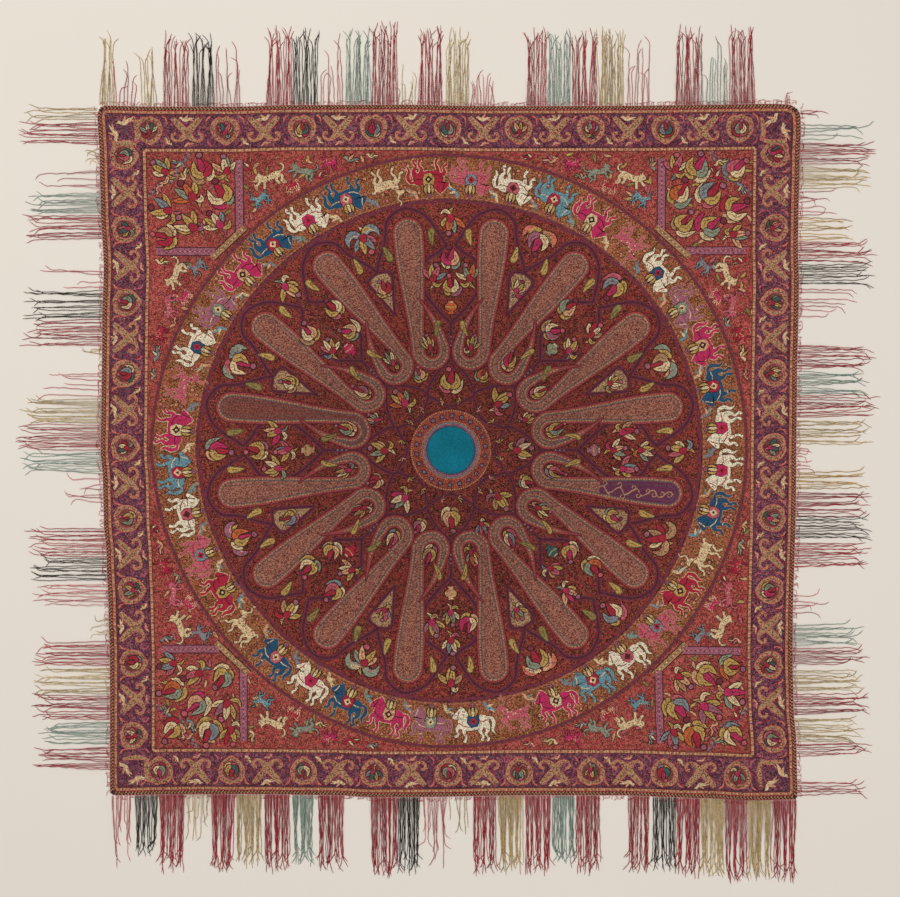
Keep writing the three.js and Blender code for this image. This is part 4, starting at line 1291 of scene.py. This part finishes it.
def sew_crossed_botehs(work, at):
    """Two speckled botehs that cross, with hooks that curl away on the field's side."""
    work.start(1)
    for hand in (-1, 1):
        line = curve_through([(hand * u, v) for u, v in (
            (-36, 35), (-24, 22), (-11, 8), (0, -5), (9, -15), (18, -23), (28, -25), (37, -18),
            (36, -8), (27, -6))], 4)
        for grown, yarns in ((3.6, "salmon"), (0, "speckled")):
            widths = []
            for n in range(len(line)):
                share = n / (len(line) - 1)
                bulb = 14.5 * math.sin(math.pi * min(share * 1.5 + 0.1, 1.0)) ** 0.6
                widths.append(max(bulb, 3.8) + grown)
            work.stroke([at(u, v) for u, v in line], widths, yarns, grown > 0)
        for n in range(1, 14, 3):
            work.patch(ellipse(at, *line[n], 3.4, 3.4, 0, 5), "teal" if n % 2 else "maroon")


def sew_border_motifs(work, side):
    """The border's pattern along one side."""
    along, out, _ = SIDES[side]
    middle = (INNER_GUARD_HALF + BORDER_HALF) / 2
    facing = math.degrees(math.atan2(out[1], out[0]))

    def on_side(s, a=0.0, turn=0.0, size=1.0, flip=1):
        return spot(s * along[0] + (middle + a) * out[0], s * along[1] + (middle + a) * out[1],
                    facing + turn, size, flip)

    for n in range(DOTS_ON_A_BORDER):
        work.start(0)
        at = on_side(chooser.uniform(-815, 815), chooser.uniform(-38, 40))
        work.patch(ellipse(at, 0, 0, 6.5, 6.5, 0, 6), "plum_dark", True)
        work.patch(ellipse(at, 0, 0, 4.2, 4.2, 0, 6),
                   ("steel", "rose", "slate", "mauve", "pink")[n % 5])
    places = [px * CLOTH_PER_PIXEL for px in ROUNDELS]
    petals = [("crimson", "teal", "cream", "rose", "sage"), ("rose", "sage", "peach", "teal", "gold"),
              ("magenta", "teal", "cream", "sage", "gold"), ("crimson", "steel", "gold", "teal", "cream")]
    for n, s in enumerate(places):
        for hand in (-1, 1):
            work.start(1)
            leaf(work, on_side(s + hand * 41, 24, 0, 1, hand), [(-7, 15), (3, 8), (6, -7)], 4.5,
                 "salmon", None)
            leaf(work, on_side(s + hand * 40, -26, 0, 1, hand), [(-6, -12), (3, -5), (4, 7)], 4.5,
                 "rose", None)
        sew_roundel(work, on_side(s, 2), petals[n % 4])
        if n + 1 < len(places):
            half_way = (s + places[n + 1]) / 2
            sew_crossed_botehs(work, on_side(half_way, 0))
            bird(work, on_side(half_way, 30, 8, 0.74, 1 if n % 2 else -1), "cream", "peach", None)
            bird(work, on_side(half_way - 49, -28, -60, 0.5, 1), "cream", "gold", None)
            bird(work, on_side(half_way + 3, -32, 190, 0.5, 1), "peach", "rose", None)
    for end in (-1, 1):
        bird(work, on_side(end * 822, 22, 30, 0.9, end), "cream", "peach", None)
        work.start(1)
        for grown, yarn in ((3.4, "salmon"), (0, "speckled")):
            work.stroke([on_side(end * 796, 0)(u, v) for u, v in ((-3, -30), (2, -10), (0, 12),
                                                                  (-2, 30))],
                        [6 + grown, 9 + grown, 8 + grown, 4 + grown], yarn, grown > 0)


for n, side in enumerate(SIDES):
    for name, inner, outer, rows, wool, slot in (
        ("inner_guard", FIELD_HALF, INNER_GUARD_HALF, 2, guard_wool, "guard_stripe"),
        ("border", INNER_GUARD_HALF, BORDER_HALF, 8, border_wool, "border_cloth"),
        ("outer_guard", BORDER_HALF, BRAID_HALF, 2, guard_wool, "guard_stripe"),
    ):
        strip = cloth_piece(f"{name}_cloth_{side}", strip_rows(side, inner, outer, rows), wool,
                            [f"{name}_{side}"])
        work = Stitching(n)
        centre = (inner + outer) / 2
        if name == "border":
            sew_border_motifs(work, side)
        else:
            work.start(1)
            for half in (inner + 1.3, outer - 1.3):
                work.stroke(side_line(side, half, 12), 1.8, "maroon", True)
            pale = name == "inner_guard"
            work.stroke(side_line(side, centre, 12), 7.0, "salmon", True)
            work.stroke(side_line(side, centre, GUARD_STITCH), 6.2 if pale else 5.2,
                        ["tan", "peach" if pale else "tan", "sand", "peach", "tan_dark"])
        stitching = work.piece(f"{name}_stitching_{side}", slot)

# The edge is finished with a flat plait of two yarns, dark olive and tan, sewn on with red
# along both sides. It shows as two rows of slanting stitches that meet in a chevron.
PLAIT_PITCH = 4.4
PLAIT_STITCH = (9.4, 4.8, 2.1)  # the length, width and rise of one stitch
PLAIT_SLANT = 42
PLAIT_ROWS = (884.8, 889.0)
PLAIT_BASE = ((-4.8, 0.0), (-4.8, 1.1), (0, 1.5), (4.8, 1.1), (4.8, 0.0))


def plump_stitch(work, at, yarn):
    """One stitch of the plait: a long lens that lies on its flat side."""
    long, wide, high = PLAIT_STITCH
    first = len(work.points)
    for t, girth in ((-0.5, 0.3), (-0.2, 0.95), (0.2, 0.95), (0.5, 0.3)):
        for k in range(4):
            a = math.pi * k / 3
            x, y = at(wide / 2 * girth * math.cos(a), long * t)
            work.points.append((x, y, 1.0 + high * girth * math.sin(a)))
    for n in range(3):
        for k in range(3):
            a = first + 4 * n + k
            work.faces.append((a, a + 1, a + 5, a + 4))
    work.yarns += [yarn] * 9


for side in SIDES:
    work = Stitching()
    along, out, _ = SIDES[side]
    facing = math.degrees(math.atan2(along[1], along[0]))
    route = side_line(side, sum(PLAIT_ROWS) / 2, PLAIT_PITCH, 0.6)
    for x, y in route:
        for wide, z in PLAIT_BASE:
            work.points.append((x + wide * out[0], y + wide * out[1], z))
    for n in range(len(route) - 1):
        for k in range(5):
            a, b = 5 * n + k, 5 * n + (k + 1) % 5
            work.faces.append((a, b, b + 5, a + 5))
    end = 5 * (len(route) - 1)
    work.faces += [(4, 3, 2, 1, 0), tuple(range(end, end + 5))]
    work.yarns += ["maroon"] * len(work.faces)
    for half, slant in zip(PLAIT_ROWS, (PLAIT_SLANT, -PLAIT_SLANT)):
        for n, (x, y) in enumerate(side_line(side, half, PLAIT_PITCH, 2.5)):
            plump_stitch(work, spot(x, y, facing + slant), "tan" if n % 2 else "olive_dark")
    work.top = 2.4
    for half in (882.9, 891.1):
        work.stroke(side_line(side, half, 12), 1.7, "crimson", True)
    work.piece(f"plait_{side}", "plaited_edging", [f"edge_braid_{side}"])

# The fringe is loose wool yarn, knotted through the edge in groups of one colour. The groups
# have worn unevenly: some are full and long, some thin, short or lost.
TAPE_FROM = 892.3
YARN_RADIUS = 1.0
FULL_REACH = 210                # the length of a yarn that is still whole
YARN_STEPS = 21
YARN_SIDES = 3
FRINGE_LIMIT = 1124
LOCK_WIDTH = 17
STUB_SPACING = 8

# Each dye of the fringe, and what it has faded to in the yarns that have seen most light.
FRINGE_DYES = {
    "red": ((166, 22, 44), (206, 118, 122)), "pink": ((196, 84, 98), (222, 166, 158)),
    "cream": ((196, 164, 104), (228, 212, 174)),
    "tan": ((204, 160, 84), (228, 200, 140)),
    "black": ((30, 28, 21), (84, 78, 62)),
    "green": ((126, 152, 140), (184, 196, 180)),
}
# How the yarn has worn on each side: millimetres of edge for each yarn of a full group, how
# far its red has faded, and how strongly the yarn is crimped.
Wear = namedtuple("Wear", "spacing fading crimp")
FRINGE_WEAR = {"top": Wear(3.2, 0.65, 0.8), "right": Wear(4.4, 0.4, 1.3),
               "bottom": Wear(2.4, 0.35, 0.9), "left": Wear(4.6, 0.75, 1.0)}

# Each group of yarns: (where it starts and ends along its side, how far it reaches, its dye,
# how full it is).
FRINGE = {
    "top": [
        (-888, -848, 206, "cream", 0.8), (-848, -790, 130, "red", 0.35),
        (-782, -742, 165, "cream", 0.7), (-726, -661, 200, "red", 0.8),
        (-656, -597, 206, "black", 0.9), (-594, -532, 185, "red", 0.45),
        (-472, -406, 215, "red", 1.0), (-406, -342, 206, "black", 0.9),
        (-340, -273, 190, "pink", 0.4), (-273, -206, 206, "green", 0.9),
        (-206, -137, 226, "red", 1.0), (-137, -88, 115, "cream", 0.4),
        (-85, -21, 214, "red", 1.0), (-15, 46, 211, "cream", 1.0),
        (49, 114, 105, "pink", 0.5), (194, 248, 214, "red", 1.0),
        (248, 310, 206, "green", 0.9), (312, 377, 209, "red", 1.0),
        (379, 446, 211, "cream", 1.0), (449, 513, 195, "pink", 0.45),
        (575, 640, 216, "red", 1.0), (642, 712, 206, "green", 0.5),
        (712, 779, 214, "red", 1.0), (852, 872, 40, "pink", 0.5),
    ],
    "right": [
        (-877, -866, 88, "red", 0.3), (-846, -797, 208, "green", 0.5),
        (-795, -738, 212, "red", 1.0), (-733, -676, 200, "cream", 0.9),
        (-673, -604, 108, "pink", 0.5), (-604, -542, 150, "tan", 0.7),
        (-539, -485, 209, "red", 1.0), (-482, -426, 206, "black", 0.9),
        (-421, -343, 200, "pink", 0.4), (-273, -209, 209, "red", 1.0),
        (-206, -144, 201, "green", 0.9), (-142, -83, 224, "red", 1.0),
        (-80, -15, 206, "cream", 0.9), (-13, 49, 72, "pink", 0.5),
        (54, 101, 200, "tan", 0.9), (106, 170, 204, "red", 1.0),
        (170, 230, 209, "black", 0.9), (237, 304, 204, "red", 1.0),
        (366, 428, 110, "pink", 0.4), (449, 501, 196, "green", 0.9),
        (506, 547, 204, "red", 1.0), (562, 617, 199, "cream", 0.9),
        (622, 676, 212, "red", 1.0), (681, 746, 186, "cream", 0.9),
        (748, 782, 212, "red", 1.0), (843, 882, 200, "red", 0.9),
    ],
    "bottom": [
        (-890, -834, 190, "pink", 0.45), (-827, -767, 165, "black", 0.8),
        (-764, -697, 209, "red", 1.0), (-694, -630, 130, "cream", 0.4),
        (-627, -563, 211, "red", 1.0), (-560, -491, 193, "cream", 0.9),
        (-485, -419, 211, "red", 1.0), (-411, -354, 193, "green", 0.9),
        (-343, -276, 214, "red", 1.0), (-206, -137, 216, "red", 1.0),
        (-137, -80, 211, "black", 1.0), (-75, -8, 200, "pink", 0.45),
        (-5, 49, 110, "cream", 0.25), (57, 116, 214, "red", 1.0),
        (121, 186, 209, "cream", 1.0), (191, 258, 211, "red", 1.0),
        (261, 320, 193, "green", 0.9), (323, 384, 214, "red", 1.0),
        (457, 511, 211, "red", 1.0), (519, 580, 204, "black", 0.9),
        (580, 642, 214, "red", 1.0), (642, 704, 219, "cream", 1.0),
        (707, 761, 226, "red", 1.0), (764, 825, 215, "cream", 1.0),
        (828, 890, 222, "red", 1.0),
    ],
    "left": [
        (-890, -854, 199, "cream", 0.8), (-851, -789, 217, "red", 1.0),
        (-784, -738, 50, "cream", 0.5), (-733, -671, 200, "pink", 0.4),
        (-668, -611, 206, "green", 0.9), (-609, -544, 212, "red", 1.0),
        (-472, -415, 172, "pink", 0.35), (-413, -338, 214, "black", 0.9),
        (-338, -268, 217, "red", 1.0), (-266, -245, 60, "cream", 0.5),
        (-206, -137, 190, "pink", 0.45), (-134, -67, 219, "cream", 0.9),
        (-65, 0, 230, "red", 1.0), (3, 62, 219, "green", 0.9),
        (70, 106, 100, "pink", 0.5), (111, 142, 200, "pink", 0.4),
        (201, 276, 212, "red", 1.0), (276, 338, 209, "black", 0.9),
        (343, 400, 206, "pink", 0.8), (428, 480, 70, "cream", 0.4),
        (493, 560, 206, "red", 1.0), (560, 632, 209, "cream", 0.9),
        (632, 699, 214, "red", 1.0), (699, 761, 190, "green", 0.9),
        (764, 828, 209, "red", 1.0),
    ],
}


def fringe_wool():
    """Soft plied yarn, a little uneven in its dye along its length."""
    wool, tree, shader = new_finish("fringe_wool", 0.75, 0.12, 0.05, 0.4)
    place = node(tree, "TexCoord").outputs["Object"]
    cloud = node(tree, "TexNoise", {"Vector": place, "Scale": 150, "Detail": 3}).outputs["Fac"]
    yarn = node(tree, "Attribute", attribute_name="yarn").outputs["Color"]
    colour = toned(tree, yarn, spread(tree, cloud, 0.7, 1.25, 0.3, 0.7))
    dress(tree, shader, colour, cloud, 0.3, 0.3)
    return wool


def fringe_line(side, root, tip, reach, steps, rng):
    """The places that one yarn passes, from its knot to its end, and its height at each."""
    along, out, _ = SIDES[side]
    sway = rng.uniform(0.8, 3.6)
    phase, pace = rng.uniform(0, 6.28), rng.uniform(2.5, 6.0)
    crimp = rng.uniform(0.4, 1.2) * FRINGE_WEAR[side].crimp
    crimp_phase, crimp_pace = rng.uniform(0, 6.28), rng.uniform(22, 42) * reach / FULL_REACH
    curl = rng.choice((-1, 1)) * rng.uniform(0, 15)
    lie = rng.uniform(0.2, 2.6)
    line = []
    for n in range(steps + 1):
        t = n / steps
        s = root + (tip - root) * smooth(t * 1.25) + sway * t * math.sin(phase + pace * t)
        s += crimp * min(t * 5, 1) * math.sin(crimp_phase + crimp_pace * t)
        s += curl * max(t - 0.8, 0) ** 1.3 * 9
        a = TAPE_FROM + 1 + reach * (t - 0.012 * max(t - 0.85, 0) * abs(curl) * 3)
        height = YARN_RADIUS + 0.3 + lie * math.sin(math.pi * min(t * 1.4, 1)) + (1 - t) ** 3
        line.append((s * along[0] + a * out[0], s * along[1] + a * out[1], height))
    return line


def add_yarn(strands, line, colour):
    """Adds one yarn, a thin tube along its line, to a side's points, faces and colours."""
    points, faces, colours = strands
    route = np.array(line)
    root_rise = rise(route[:1, 0], route[:1, 1])[0]
    x, y = sewn(route[:, 0], route[:, 1])
    x = np.clip(x, -FRINGE_LIMIT, FRINGE_LIMIT)
    y = np.clip(y, -FRINGE_LIMIT, FRINGE_LIMIT)
    z = route[:, 2] + root_rise * np.linspace(1, 0, len(line)) ** 2
    middle = np.column_stack([x, y, z])
    ahead = np.gradient(middle, axis=0)
    ahead /= np.linalg.norm(ahead, axis=1)[:, None] + 1e-9
    beside = np.cross(ahead, (0, 0, 1))
    above = np.cross(beside, ahead)
    radius = np.full(len(line), YARN_RADIUS)
    radius[-1] = YARN_RADIUS * 0.35
    first = len(points)
    corners = []
    for k in range(YARN_SIDES):
        a = 2 * math.pi * k / YARN_SIDES
        corners.append(middle + radius[:, None] * (math.cos(a) * beside + math.sin(a) * above))
    points.extend(np.stack(corners, axis=1).reshape(-1, 3))
    for n in range(len(line) - 1):
        for k in range(YARN_SIDES):
            a = first + n * YARN_SIDES + k
            b = first + n * YARN_SIDES + (k + 1) % YARN_SIDES
            faces.append((a, b, b + YARN_SIDES, a + YARN_SIDES))
    last = first + (len(line) - 1) * YARN_SIDES
    faces.append(tuple(range(first + YARN_SIDES - 1, first - 1, -1)))
    faces.append(tuple(range(last, last + YARN_SIDES)))
    colours.extend([colour] * ((len(line) - 1) * YARN_SIDES + 2))


def faded(dyes, share, tone):
    fresh, pale = (dye(*colour) for colour in dyes)
    return tuple(min((a + (b - a) * share) * tone, 1) for a, b in zip(fresh[:3], pale[:3])) + (1,)


yarn_wool = fringe_wool()
for seed, side in enumerate(SIDES):
    rng = random.Random(17 + seed)
    strands = ([], [], [])
    wear = FRINGE_WEAR[side]
    for start, end, full_reach, yarn, fullness in FRINGE[side]:
        width = end - start
        count = max(int(width / wear.spacing * fullness), 3)
        locks = max(int(width / LOCK_WIDTH), 1)
        for n in range(count):
            root = start + width * (n + rng.uniform(0.1, 0.9)) / count
            lock = min(int((root - start) / width * locks), locks - 1)
            gather = start + width * (lock + 0.5) / locks
            tip = root + (gather - root) * rng.uniform(-0.1, 0.9) + rng.uniform(-5, 5)
            reach = full_reach * (rng.uniform(0.4, 1.02) if fullness < 0.6
                                  else rng.uniform(0.8, 1.0))
            steps = max(int(YARN_STEPS * reach / FULL_REACH), 6)
            add_yarn(strands, fringe_line(side, root, tip, reach, steps, rng),
                     faded(FRINGE_DYES[yarn], wear.fading * rng.random() ** 1.3,
                           rng.uniform(0.6, 1.1)))
    for n in range(int(2 * EDGE_HALF / STUB_SPACING)):
        root = -EDGE_HALF + STUB_SPACING * (n + rng.random())
        if abs(root) < EDGE_HALF - 8:
            line = fringe_line(side, root, root + rng.uniform(-4, 4), rng.uniform(5, 13), 4, rng)
            add_yarn(strands, line, faded(FRINGE_DYES["pink"], rng.random(), 1))
    points, faces, colours = strands
    made = add_piece(f"fringe_yarn_{side}", np.array(points) * MM, faces, yarn_wool,
                     [f"fringe_{side}"])
    colour_faces(made, faces, colours)
    for face in made.data.polygons:
        face.use_smooth = True
